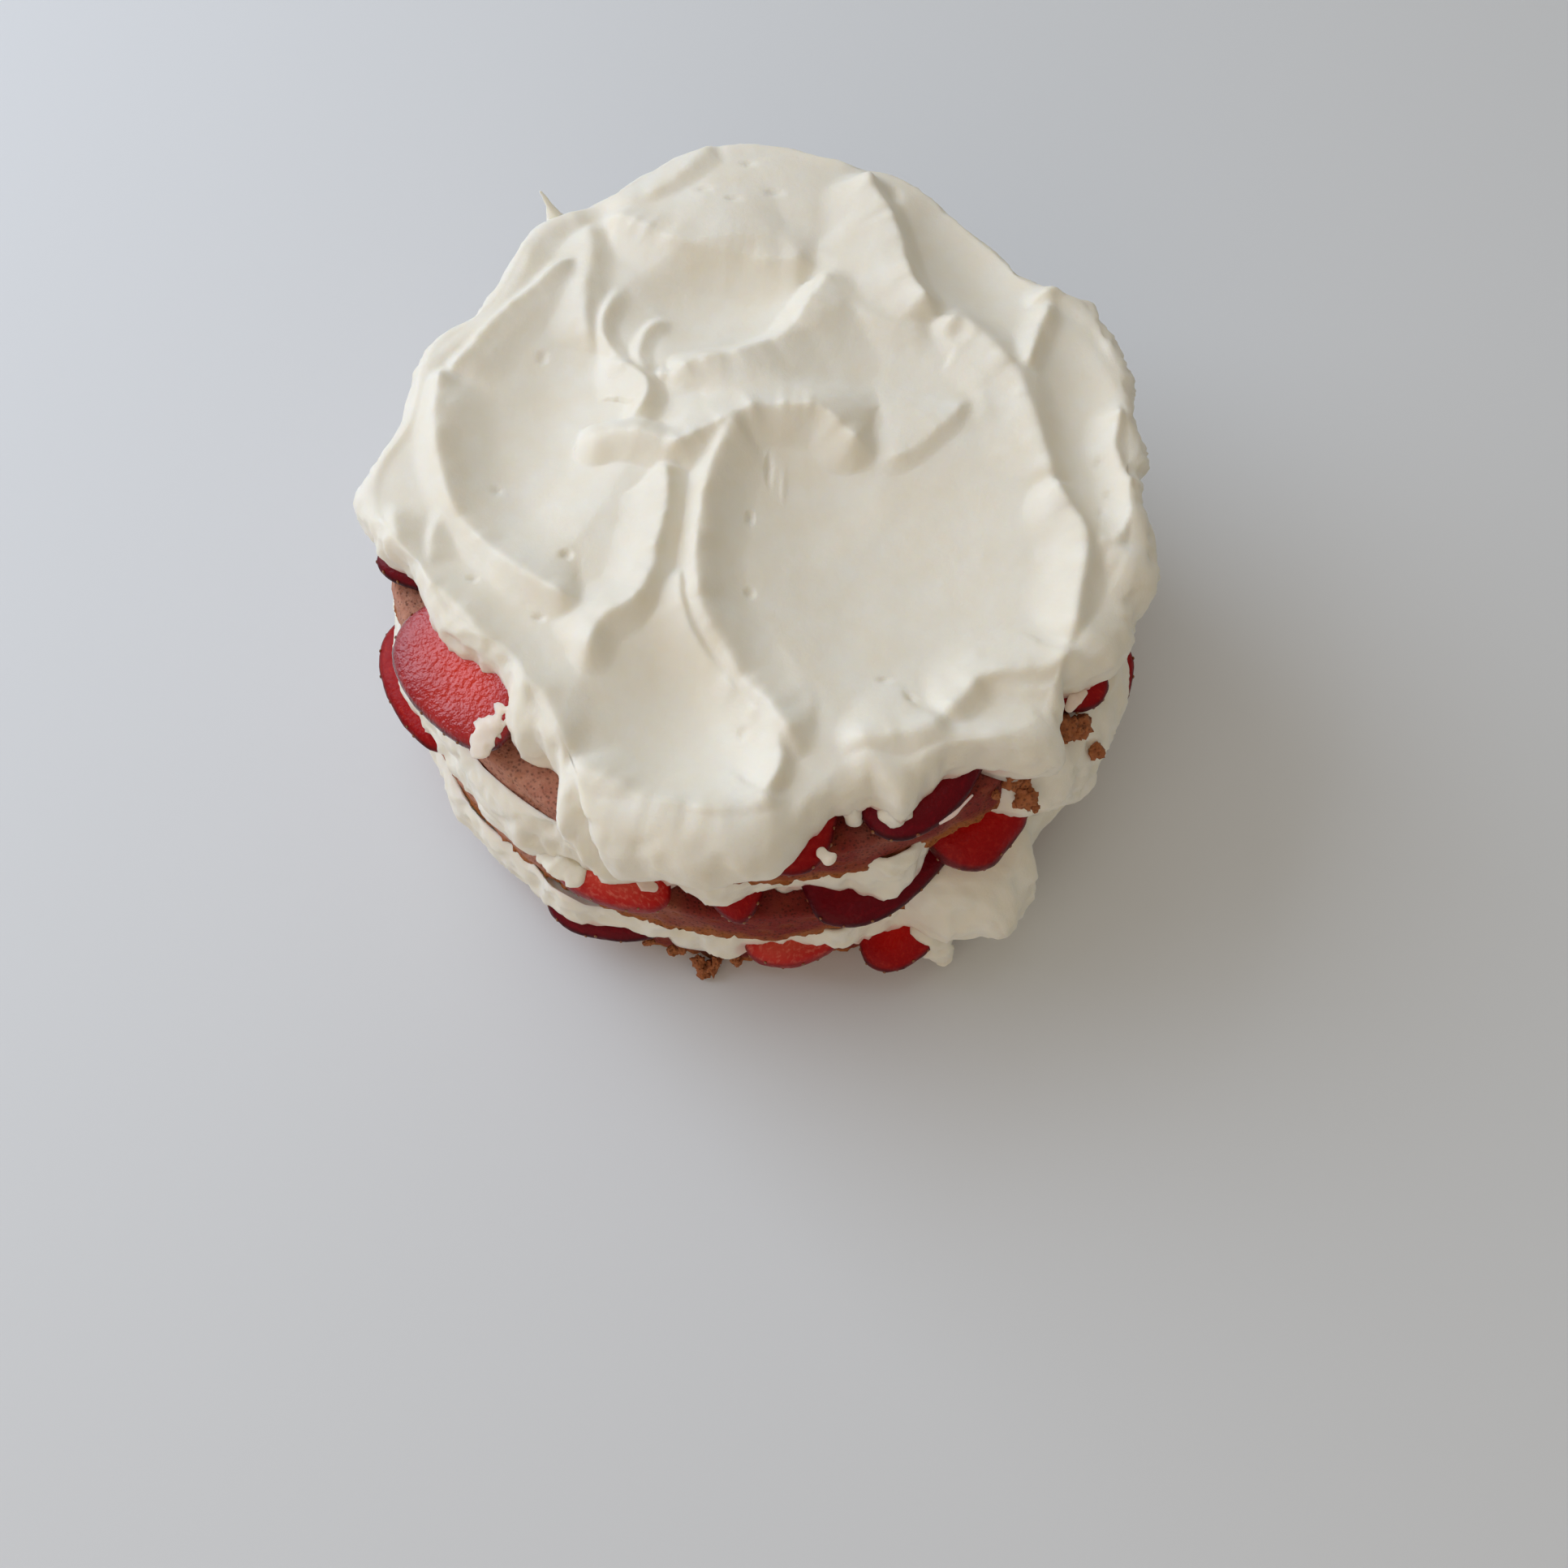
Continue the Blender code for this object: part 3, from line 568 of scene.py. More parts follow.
@dataclass(frozen=True)
class SeedFinish:
    """Strawberry seeds: small dry husks, tan under a film of juice."""

    colour: str = "9A6A2A"
    juice: str = "6E1A14"
    speck_mm: float = 0.8

    def make(self) -> bpy.types.Material:
        """Builds the material.

        Returns:
            The material.
        """
        coats = {"Roughness": 0.4, "IOR": 1.45, "Coat Weight": 0.4, "Coat Roughness": 0.2}
        material, tree, shader, place = new_material("strawberry_seed", coats)
        specks = {"Scale": 1 / (self.speck_mm * MM), "Detail": 1.0, "Vector": place}
        speck = add_node(tree, "TexNoise", specks).outputs["Fac"]
        shades = {"A": linear(self.juice), "B": linear(self.colour), "Factor": speck}
        tint = add_node(tree, "Mix", shades, data_type="RGBA").outputs["Result"]
        tree.links.new(tint, shader.inputs["Base Color"])
        return material


class Finishes:
    """The materials of the cake, each made once."""

    def __init__(self) -> None:
        """Makes the materials."""
        self.cream = WhippedCreamFinish().make()
        self.sponge = SpongeFinish().make()
        self.seed = SeedFinish().make()
        self.strawberry = {cut: cut.value.make() for cut in Cut}


# The sponges.


@dataclass(frozen=True)
class Sponge:
    """A round sponge that tapers up from its widest edge, by its floor, radius and shift off the axis."""

    name: str
    floor: float
    radius: float
    off_x: float
    off_y: float
    around_count: int = 620
    taper: float = 1.8
    edge_round: float = 1.4
    crag: float = 0.7
    side_foot: float = 1.0
    broken_height: float = 5.2
    waves_mm: float = 0.35
    ripples_mm: float = 0.12
    pits_mm: float = 0.7
    flakes_mm: float = 0.55
    grains_mm: float = 0.5
    worn_mm: float = 0.35
    soaked: Pairs = (
        (-160, 0.05), (-125, 0.15), (-105, 0.7), (-90, 1.0), (-50, 1.0), (-25, 0.4), (0, 0.1), (120, 0.05),
    )

    def edge(self, azimuth: Array) -> Array:
        """The radius of its widest edge, seen from the cake's axis."""
        return self.radius + self.off_x * np.cos(azimuth) + self.off_y * np.sin(azimuth)

    def profile(self) -> Pairs:
        """The side from the middle of the top, down to the middle of the underside.

        Returns:
            (radius, height) pairs.
        """
        top, high = SPONGE_THICKNESS, self.radius - self.taper - self.crag
        turn = np.radians(np.linspace(90, 8, 7))
        rings = [(0.0, top), (high * 0.5, top), (high - 6, top), (high - 3, top)]
        rings += [
            (high - self.edge_round * (1 - math.cos(t)), top - self.edge_round * (1 - math.sin(t)))
            for t in turn
        ]
        low = self.radius - self.crag
        for share in np.linspace(0.04, 1, 26):
            level = (top - self.edge_round) * (1 - share) + self.side_foot * share
            rings.append((high + (low - high) * share, level))
        rings += [(low - 0.2, 0.5), (low - 0.9, 0.12), (low - 1.8, 0.0), (low - 6, 0.0), (low * 0.5, 0.0)]
        return [*rings, (0.0, 0.0)]

    def build(self, finishes: Finishes) -> bpy.types.Object:
        """Builds the sponge.

        Args:
            finishes: the cake's materials.

        Returns:
            Its object.
        """
        azimuth = azimuths(self.around_count)
        radius, height = (np.array(v)[:, None] + 0 * azimuth for v in zip(*self.profile()))
        spots = polar(radius, azimuth, height) + np.array([self.off_x, self.off_y, self.floor])
        noise = Noise(int(self.floor) + 11)
        side = ease(self.radius * 0.9, self.radius - 4, radius)
        broad, fine, grain = noise.at(spots, 9.0, 2), noise.at(spots, 2.2, 2), noise.at(spots, 1.1)
        broken = ease(self.broken_height, 0.6, height + 1.4 * broad) * side
        pores = np.clip(fine - 0.35, 0, 1)
        push = side * (self.waves_mm * broad + self.ripples_mm * fine - self.pits_mm * pores)
        push = push + broken * (self.flakes_mm * fine + self.grains_mm * grain - self.worn_mm)
        push = np.minimum(push, self.crag + 0.1)
        lift = broken * np.clip(0.6 * grain + 0.4 * fine, 0, 1) * ease(2.2, 0.0, height)
        rings = spots + polar(push, azimuth, lift)
        marks = {
            "torn": np.clip(1.3 * broken + 0.3 * fine * side, 0, 1),
            "soaked": np.clip(around(self.soaked, azimuth) * (1.1 + 0.4 * broad), 0, 1),
        }
        return ring_mesh(f"{self.name}_crumb", rings, finishes.sponge, marks)


# The strawberries.


@dataclass(frozen=True)
class Slice:
    """A strawberry slice: its middle, the azimuth its tip points to, its size and its cut.

    It lies flat, higher where it is raised, and slopes down outwards by its droop in degrees.
    """

    x: float
    y: float
    heading: float
    length: float
    width: float
    thickness: float = 5.5
    crown: float = 0.0
    raised: float = 0.0
    droop: float = 0.0
    cut: Cut = Cut.RED
    around_count: int = 84
    face_count: int = 18
    rim_count: int = 9
    rim_degrees: float = 24.0
    roundness: float = 0.45
    notch_depth: float = 0.10
    narrowing: float = 0.30
    dish_depth: float = 0.35
    swell_mm: float = 0.22
    ripples_mm: float = 0.10
    rim_swell_mm: float = 0.35
    rim_ripples_mm: float = 0.14
    trim_mm: float = 0.3
    seed_count: int = 18
    seed_radii: tuple[float, float, float] = (0.30, 0.42, 0.62)
    seed_depth: float = 0.05

    def outline_reach(self) -> float:
        """Half of its width as seen from the cake's axis."""
        tangential = abs(math.sin(math.radians(self.heading) - math.atan2(self.y, self.x)))
        return (self.width + (self.length - self.width) * tangential) / 2

    def rings(self, floor: float) -> tuple[Array, dict[str, Array]]:
        """Its skin.

        Args:
            floor: the height that it lies on.

        Returns:
            Rings of points from the middle of its upper face to that of its lower one, and marks.
        """
        rise = np.arccos(np.linspace(0, 0.95, self.face_count) ** (1 / self.roundness))
        rim = np.radians(np.linspace(self.rim_degrees, -self.rim_degrees, self.rim_count))
        rise = np.concatenate([rise, rim, -rise[::-2]])[:, None]
        rise[-1] = -math.pi / 2
        azimuth = azimuths(self.around_count)[None]
        flat = np.clip(np.cos(rise), 0, 1) ** self.roundness + 0 * azimuth
        half_length, half_width = self.length / 2, self.width / 2
        notch = self.notch_depth * half_length * np.exp(-(((azimuth - math.pi) / 0.45) ** 2))
        along = flat * (half_length * np.cos(azimuth) + notch)
        across = flat * half_width * np.sin(azimuth) * (1 - self.narrowing * np.cos(azimuth))
        top = np.sin(rise) * (1 + self.crown * (0.6 - 0.6 * (along / half_length) ** 2))
        level = np.where(rise > 0, top, np.sin(rise))
        heading = math.radians(self.heading)
        x = self.x + along * math.cos(heading) - across * math.sin(heading)
        y = self.y + along * math.sin(heading) + across * math.cos(heading)
        z = floor + self.raised + self.thickness / 2 + level * self.thickness / 2
        outwards = (x * self.x + y * self.y) / math.hypot(self.x, self.y)
        z = z + math.tan(math.radians(self.droop)) * (outwards.max() - outwards)
        points = np.stack([x, y, z], axis=-1)
        noise = Noise(int(abs(self.x * 7 + self.y * 13)) + 3)
        broad, fine = noise.at(points, 7.0, 2), noise.at(points, 1.8, 2)
        dish = -self.dish_depth * (1 - flat**3) * (level > 0)
        points[..., 2] += np.clip(level, 0, 1) * (self.swell_mm * broad + self.ripples_mm * fine + dish)
        outward = points[..., :2] - np.array([self.x, self.y])
        reach = np.linalg.norm(outward, axis=-1, keepdims=True) + 1e-6
        push = flat**3 * (self.rim_swell_mm * broad + self.rim_ripples_mm * fine) - self.trim_mm * flat
        points[..., :2] += outward / reach * push[..., None]
        skin = ease(0.93, 1.0, flat) * (0.65 + 0.35 * ease(-0.4, 0.4, fine))
        marks = {"out": flat**1.4 + 0.15 * broad, "turn": azimuth + 0 * rise, "skin": np.clip(skin, 0, 1)}
        return points, marks

    def seeds(self, floor: float) -> list[tuple[Array, Array]]:
        """Small seeds set in the skin of its rim.

        Args:
            floor: the height that it lies on.

        Returns:
            The points and faces of each seed.
        """
        points, _ = self.rings(floor)
        rim = points[self.face_count + 1 : self.face_count + self.rim_count - 1]
        pick = np.random.default_rng(int(abs(self.x * 31 + self.y * 17)) + 1)
        ball, faces = unit_ball(8, 4)
        deep, wide, tall = self.seed_radii
        found = []
        for place in np.linspace(0, self.around_count, self.seed_count + 1)[:-1]:
            spot = rim[pick.integers(0, len(rim)), int(place + pick.uniform(0, 3)) % self.around_count]
            outward = np.array([spot[0] - self.x, spot[1] - self.y, 0.0])
            outward /= np.linalg.norm(outward)
            side = np.array([-outward[1], outward[0], 0.0])
            size = pick.uniform(0.85, 1.1)
            shape = ball @ np.stack([deep * outward, wide * side, np.array([0, 0, tall])]) * size
            found.append((shape + spot - self.seed_depth * outward, faces))
        return found


@dataclass
class StrawberryLayer:
    """The slices that lie on one sponge."""

    layer: str
    floor: float
    slices: Sequence[Slice]
    front_steps: int = 30

    def cover(self, azimuth: Array) -> Array:
        """How far a slice lies under the cream's edge, from 0, well clear, to 1.

        Args:
            azimuth: azimuths in radians.

        Returns:
            The cover at each azimuth.
        """
        cover = np.zeros_like(azimuth)
        for piece in self.slices:
            middle = math.atan2(piece.y, piece.x)
            reach = piece.outline_reach() / math.hypot(piece.x, piece.y) + math.radians(2)
            away = np.abs((azimuth - middle + math.pi) % (2 * math.pi) - math.pi)
            cover = np.maximum(cover, np.clip((reach - away) / math.radians(3) + 1, 0, 1))
        return cover

    def front(self, azimuth: Array) -> tuple[Array, Array]:
        """Where the slices end towards the outside.

        Args:
            azimuth: azimuths in radians.

        Returns:
            The radius and the height that the slices reach at each azimuth, both 0 where there is none.
        """
        reach, top = np.zeros_like(azimuth), np.zeros_like(azimuth)
        for piece in self.slices:
            points = piece.rings(self.floor)[0].reshape(-1, 3)
            middle = math.atan2(piece.y, piece.x)
            turn = (np.arctan2(points[:, 1], points[:, 0]) - middle + math.pi) % (2 * math.pi) - math.pi
            steps = np.linspace(turn.min(), turn.max(), self.front_steps + 1)
            middles = (steps[:-1] + steps[1:]) / 2
            step = np.clip(np.searchsorted(steps, turn) - 1, 0, self.front_steps - 1)
            radius = np.hypot(points[:, 0], points[:, 1])
            edge = [radius[step == number].max(initial=0) for number in range(self.front_steps)]
            high = [points[step == number, 2].max(initial=0) for number in range(self.front_steps)]
            away = (azimuth - middle + math.pi) % (2 * math.pi) - math.pi
            inside = (away > steps[0]) & (away < steps[-1])
            found = np.where(inside, np.interp(away, middles, edge), 0)
            top = np.where(found > reach, np.interp(away, middles, high), top)
            reach = np.maximum(reach, found)
        return reach, top

    def tuck(self, azimuth: Array, radius: Array, height: Array, tucked: float, least: Array) -> Array:
        """How far cream draws back behind the slices, so that they show.

        Args:
            azimuth: azimuths in radians.
            radius: the radius of each row of the cream at each of them.
            height: the height there.
            tucked: how far behind a slice's front the cream stands.
            least: the smallest radius to draw back to at each azimuth.

        Returns:
            How much to take off the radius.
        """
        front, crown = self.front(azimuth)
        behind = np.where(front > 0, np.maximum(front - tucked, least), np.inf)
        return evened(ease(crown + 1.2, crown - 1.0, height) * np.clip(radius - behind, 0, None), 6)

    def stain(self, points: Array) -> Array:
        """How pink the juice makes cream at each point: strong within a millimetre or two of a slice.

        Args:
            points: the points, with x, y and z on the last axis.

        Returns:
            The stain at each point, from 0 to 1.
        """
        stain = np.zeros(points.shape[:-1])
        for piece in self.slices:
            heading = math.radians(piece.heading)
            off_x, off_y = points[..., 0] - piece.x, points[..., 1] - piece.y
            along = (off_x * math.cos(heading) + off_y * math.sin(heading)) / (piece.length / 2)
            across = (off_y * math.cos(heading) - off_x * math.sin(heading)) / (piece.width / 2)
            upward = (points[..., 2] - self.floor - piece.thickness / 2) / (piece.thickness / 2 + 1.0)
            away = np.sqrt(np.abs(along) ** 3 + np.abs(across) ** 3 + np.abs(upward) ** 3) ** (2 / 3)
            stain = np.maximum(stain, ease(1.18, 0.98, away))
        return stain

    def build(self, finishes: Finishes) -> list[bpy.types.Object]:
        """Builds the slices, each standing for its own solid.

        Args:
            finishes: the cake's materials.

        Returns:
            Their objects.
        """
        things = []
        for number, piece in enumerate(self.slices, start=1):
            node = f"berry_{self.layer}_{number}"
            rings, marks = piece.rings(self.floor)
            flesh = ring_mesh(f"{node}_flesh", rings, finishes.strawberry[piece.cut], marks)
            seeds = blob_mesh(f"{node}_seeds", piece.seeds(self.floor), finishes.seed)
            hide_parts(node)
            things += [flesh, seeds]
        return things


# The cream.


@dataclass(frozen=True)
class Lap:
    """How cream that reaches past a sponge's edge sinks over it, and rises a little past the edge above."""

    start: float = 1.2
    steepness: float = 2.2
    deepest: float = 8.5
    risen_share: float = 0.35

    def sunk(self, outline: Array, edge: Array) -> Array:
        """How far cream with this outline has sunk over this edge."""
        return np.clip(self.steepness * (outline - edge - self.start), 0, self.deepest)


@dataclass
class Filling:
    """The layer of cream between two sponges, around the slices that lie on the lower one."""

    name: str
    below: Sponge
    above: Sponge
    berries: StrawberryLayer
    outline: Pairs
    rise: Pairs
    lap: Lap = field(default_factory=Lap)
    around_count: int = 560
    wall_count: int = 44
    tucked: float = 3.0
    deepest_tuck: float = 9.0
    lean: float = 0.55
    belly_share: float = 0.45
    wall_start: float = 0.4
    top_lip: float = 2.0
    foot_lip: float = 1.5
    folds_mm: float = 1.7
    ruffles_mm: float = 0.8
    sag_mm: float = 0.9
    upper_sag_share: float = 0.3

    def build(self, finishes: Finishes) -> bpy.types.Object:
        """Builds the filling.

        Args:
            finishes: the cake's materials.

        Returns:
            Its object.
        """
        azimuth = azimuths(self.around_count)
        floor = self.below.floor + SPONGE_THICKNESS
        noise = Noise(int(floor) + 29)
        low_edge = self.below.edge(azimuth) + SPONGE_CLEARANCE
        high_edge = self.above.edge(azimuth) + SPONGE_CLEARANCE
        reach = around(self.outline, azimuth)
        sunk = self.lap.sunk(reach, low_edge) * (1 - self.berries.cover(azimuth))
        risen = self.lap.risen_share * self.lap.sunk(reach, high_edge)
        top, bottom = self.above.floor - GAP, floor + GAP
        high = np.minimum(high_edge, reach - self.top_lip)
        low = np.minimum(low_edge, reach - self.foot_lip)
        rise = around(self.rise, azimuth)
        head, foot = top + risen + rise, bottom - sunk
        belly = foot + self.belly_share * (head - foot)
        flat = 0 * azimuth
        cap = high - self.lean * rise
        rows = [(inner, flat + top) for inner in (flat, cap * 0.6, cap - 4, cap)]
        for turn in np.linspace(0.02, math.pi - 0.02, self.wall_count):
            inside, end = (cap, head) if turn < math.pi / 2 else (low, foot)
            level = belly + abs(math.cos(turn)) * (end - belly)
            start = inside + self.wall_start
            rows.append((start + (reach - start) * math.sin(turn), level))
        rows += [(inner, flat + bottom) for inner in (low, low - 4, low * 0.6, flat)]
        radius, height = np.array([r for r, _ in rows]), np.array([h for _, h in rows])
        wall = np.zeros(len(rows))
        wall[4 : 4 + self.wall_count] = np.sin(np.linspace(0, math.pi, self.wall_count)) ** 0.5
        spots = polar(radius, azimuth, height) * np.array([1, 1, 0.75])
        folds, ruffles = noise.at(spots, 11.0, 2), noise.at(spots + 40, 4.2, 2)
        push = wall[:, None] * (self.folds_mm * folds + self.ruffles_mm * (0.6 - 2 * np.abs(ruffles)))
        drop = wall[:, None] * self.sag_mm * noise.at(spots + 90, 7.0)
        height = height + np.where(height < belly, drop, self.upper_sag_share * drop)
        radius = radius + push
        radius = radius - self.berries.tuck(azimuth, radius, height, self.tucked, reach - self.deepest_tuck)
        rings = polar(radius, azimuth, height)
        marks = {"stain": STAIN_STRENGTH * self.berries.stain(rings)}
        return ring_mesh(f"{self.name}_swirls", rings, finishes.cream, marks)


@dataclass(frozen=True)
class Crest:
    """A ridge left by the spatula, and how far it takes to fall away to its left and right."""

    name: str
    path: Sequence[tuple[float, float]]
    height: float
    left: float
    right: float
    ragged: float = 0.12
    softness: float = 0.5
    end_taper: float = 6.0
    hollow: float = 1.8
    blunt: float = 0.0
    end_width: float = 0.3
    calm_passes: int = 10

    def lift(self, x: Array, y: Array) -> Array:
        """How far the crest raises the cream.

        Args:
            x: where the points are across the cake.
            y: where they are front to back.

        Returns:
            Its lift at each point.
        """
        line = smooth_path(self.path)
        for _ in range(self.calm_passes):
            line[1:-1] = (line[:-2] + 2 * line[1:-1] + line[2:]) / 4
        step = np.diff(line, axis=0)
        length = np.hypot(step[:, 0], step[:, 1])
        run = np.append(0, np.cumsum(length))
        lift = np.zeros_like(x)
        widest = max(self.left, self.right)
        near = np.flatnonzero(
            (x > line[:, 0].min() - widest)
            & (x < line[:, 0].max() + widest)
            & (y > line[:, 1].min() - widest)
            & (y < line[:, 1].max() + widest)
        )
        off_x, off_y = x[near, None] - line[:-1, 0], y[near, None] - line[:-1, 1]
        share = np.clip((off_x * step[:, 0] + off_y * step[:, 1]) / length**2, 0, 1)
        distance = np.hypot(off_x - share * step[:, 0], off_y - share * step[:, 1])
        nearest = distance.argmin(axis=1)
        each = np.arange(len(near))
        share, distance = share[each, nearest], distance[each, nearest]
        turn = step[nearest, 0] * off_y[each, nearest] - step[nearest, 1] * off_x[each, nearest]
        side = turn / (length[nearest] * np.maximum(distance, 1e-6))
        reach = self.right + (self.left - self.right) * (1 + side) / 2
        along = run[nearest] + share * length[nearest]
        to_end = np.minimum(along, run[-1] - along)
        from_end = ease(0, self.end_taper, to_end)
        from_end = self.blunt + (1 - self.blunt) * from_end
        narrowed = self.end_width + (1 - self.end_width) * ease(0, reach, to_end)
        reach = reach * (self.blunt + (1 - self.blunt) * narrowed)
        flank = np.clip(1 - (np.hypot(distance, self.softness) - self.softness) / reach, 0, 1)
        spots = np.stack([along, 0 * along + self.path[0][0], 0 * along + self.path[0][1]], axis=1)
        wobble = 1 + self.ragged * flank**3 * Noise(77).at(spots, 3.4, 2)
        lift[near] = self.height * wobble * from_end * flank**self.hollow
        return lift


@dataclass(frozen=True)
class Bowl:
    """A hollow pressed by the spatula, or a swelling where its depth is under 0: a turned ellipse."""

    x: float
    y: float
    reach_x: float
    reach_y: float
    turn: float
    depth: float

    def dip(self, x: Array, y: Array) -> Array:
        """How far it lowers the cream.

        Args:
            x: where the points are across the cake.
            y: where they are front to back.

        Returns:
            Its dip at each point.
        """
        turn = math.radians(self.turn)
        along = (x - self.x) * math.cos(turn) + (y - self.y) * math.sin(turn)
        across = (y - self.y) * math.cos(turn) - (x - self.x) * math.sin(turn)
        within = np.clip(1 - (along / self.reach_x) ** 2 - (across / self.reach_y) ** 2, 0, 1)
        return self.depth * within**1.5


@dataclass(frozen=True)
class Fold:
    """A furrow down the cream's side, from one azimuth at its top to another at its foot, in degrees."""

    start: float
    end: float
    width: float
    depth: float

    def dent(self, azimuth: Array, down: Array) -> Array:
        """How far it pulls the side in.

        Args:
            azimuth: azimuths in radians.
            down: how far down the side, from 0 at the cream's shoulder to 1 at its foot.

        Returns:
            The dent at each place.
        """
        line = self.start + (self.end - self.start) * down
        away = (np.degrees(azimuth) - line + 180) % 360 - 180
        return self.depth * np.exp(-((away / self.width) ** 2))


@dataclass
class TopCream:
    """The thick cream on top, with the spatula's crests and hollows."""

    sponge: Sponge
    berries: StrawberryLayer
    outline: Pairs
    roll: Pairs
    lumps: Pairs
    folds: Sequence[Fold]
    crests: Sequence[Crest]
    bowls: Sequence[Bowl]
    lap: Lap = field(default_factory=Lap)
    middle_height: float = 89.0
    dome_fall: float = 4.5
    dome_reach: float = 84.0
    blend_power: float = 3.0
    torn_edge: float = 0.22
    tucked: float = 3.0
    deepest_tuck: float = 4.5
    around_count: int = 560
    top_count: int = 138
    wall_count: int = 34
    shoulder_passes: int = 60
    rim_passes: int = 80
    belly_share: float = 0.42
    shoulder_lip: float = 2.0
    foot_lip: float = 2.5
    foot_clearance: float = 0.6
    swell_mm: float = 0.24
    ripples_mm: float = 0.05
    folds_mm: float = 1.0
    ruffles_mm: float = 0.5

    def surface(self, x: Array, y: Array) -> Array:
        """The top of the cream.

        Args:
            x: where the points are across the cake.
            y: where they are front to back.

        Returns:
            The height at each point.
        """
        dome = self.middle_height - self.dome_fall * (x * x + y * y) / self.dome_reach**2
        spots = np.stack([x, y, 0 * x], axis=1)
        torn_x = x + self.torn_edge * Noise(21).at(spots, 3.8, 2)
        torn_y = y + self.torn_edge * Noise(22).at(spots, 3.8, 2)
        lifts = sum(crest.lift(torn_x, torn_y) ** self.blend_power for crest in self.crests)
        height = dome + lifts ** (1 / self.blend_power) - sum(bowl.dip(x, y) for bowl in self.bowls)
        swell, ripples = Noise(5).at(spots, 16.0, 2), Noise(6).at(spots, 2.6, 2)
        return height + self.swell_mm * swell + self.ripples_mm * ripples

    def build(self, finishes: Finishes) -> bpy.types.Object:
        """Builds the cream.

        Args:
            finishes: the cake's materials.

        Returns:
            Its object.
        """
        azimuth = azimuths(self.around_count)
        edge = self.sponge.edge(azimuth) + SPONGE_CLEARANCE
        outline = around(self.outline, azimuth)
        calm_outline = evened(outline, self.shoulder_passes)
        shoulder = np.minimum(calm_outline - around(self.roll, azimuth), outline - self.shoulder_lip)
        sunk = self.lap.sunk(outline, edge) * (1 - self.berries.cover(azimuth))
        foot_height = CREAM_FLOOR - sunk
        foot = np.minimum(outline - self.foot_lip, edge + self.foot_clearance)
        top = np.linspace(0, 1, self.top_count)[:, None]
        x, y = shoulder * top * np.cos(azimuth), shoulder * top * np.sin(azimuth)
        face = np.stack([x, y, self.surface(x.ravel(), y.ravel()).reshape(x.shape)], axis=-1)

        rim_height = face[-1, :, 2]
        calm = evened(rim_height, self.rim_passes)
        belly = foot_height + self.belly_share * (calm - foot_height)
        turn = np.linspace(0, math.pi, self.wall_count + 1)[1:-1, None]
        inside = np.where(turn < math.pi / 2, shoulder, foot)
        rim = calm + (rim_height - calm) * np.abs(np.cos(turn)) ** 4
        end = np.where(turn < math.pi / 2, rim, foot_height)
        radius = inside + (outline - inside) * np.sin(turn)
        level = belly + np.abs(np.cos(turn)) * (end - belly)
        spots = polar(radius, azimuth, level) * np.array([1, 1, 0.8])
        folds, ruffles = Noise(41).at(spots, 10.0, 2), Noise(43).at(spots, 3.6, 2)
        weight = np.sin(turn) ** 0.7
        lumpy = around(self.lumps, azimuth)
        relief = self.folds_mm * folds + self.ruffles_mm * (0.7 - 2 * np.abs(ruffles))
        radius = radius + weight * lumpy * relief
        radius = radius - weight * sum(fold.dent(azimuth, turn / math.pi) for fold in self.folds)
        radius = radius - self.berries.tuck(azimuth, radius, level, self.tucked, outline - self.deepest_tuck)
        wall = polar(radius, azimuth, level)

        inner = np.minimum(edge, foot - self.foot_clearance)
        floor = np.array([1.0, 0.96, 0.6, 0.0])[:, None] * inner
        under = polar(floor, azimuth, 0 * floor + CREAM_FLOOR)
        under[0, :, 2] = np.minimum(CREAM_FLOOR, foot_height + 0.8)
        rings = np.concatenate([face, wall, under])
        marks = {"stain": STAIN_STRENGTH * self.berries.stain(rings)}
        return ring_mesh("cream_top_swirls", rings, finishes.cream, marks)


# The small pieces.


@dataclass(frozen=True)
class Dab:
    """A small smear, drip or peak of cream: a soft tube through points, each with its own thickness."""

    name: str
    path: Sequence[tuple[float, float, float]]
    thickness: Sequence[float]
    flatness: float = 1.0
    stain: float = 0.0
    lumpy: float = 0.28
    around_count: int = 28
    cap_count: int = 5

    def build(self, finishes: Finishes) -> bpy.types.Object:
        """Builds the dab.

        Args:
            finishes: the cake's materials.

        Returns:
            Its object.
        """
        line = smooth_path(self.path, 8)
        stations = np.linspace(0, 1, len(self.thickness))
        share = np.linspace(0, 1, len(line))
        size = np.interp(share, stations, self.thickness) / 2
        along = np.gradient(line, axis=0)
        along /= np.linalg.norm(along, axis=1, keepdims=True)
        flat_side = np.cross(along, [0, 0, 1.0]) + 1e-6
        flat_side /= np.linalg.norm(flat_side, axis=1, keepdims=True)
        up = np.cross(flat_side, along)
        turn = azimuths(self.around_count)
        rounding = np.linspace(0, math.pi / 2, self.cap_count + 1)[:-1]
        cap, back = np.sin(rounding), np.cos(rounding)
        radii = np.concatenate([size[0] * cap, size, size[-1] * cap[::-1]])
        start = line[0] - along[0] * (size[0] * back)[:, None]
        finish = line[-1] + along[-1] * (size[-1] * back[::-1])[:, None]
        middles = np.vstack([start, line, finish])
        ends = ((self.cap_count, self.cap_count), (0, 0))
        sides, ups = (np.pad(way, ends, "edge") for way in (flat_side, up))
        rings = (
            middles[:, None]
            + radii[:, None, None] * np.cos(turn)[None, :, None] * sides[:, None]
            + self.flatness * radii[:, None, None] * np.sin(turn)[None, :, None] * ups[:, None]
        )
        lumps = Noise(61).at(rings, 2.4, 2)
        rings = rings + (rings - middles[:, None]) * self.lumpy * lumps[..., None]
        return ring_mesh(self.name, rings, finishes.cream, {"stain": np.full(rings.shape[:2], self.stain)})


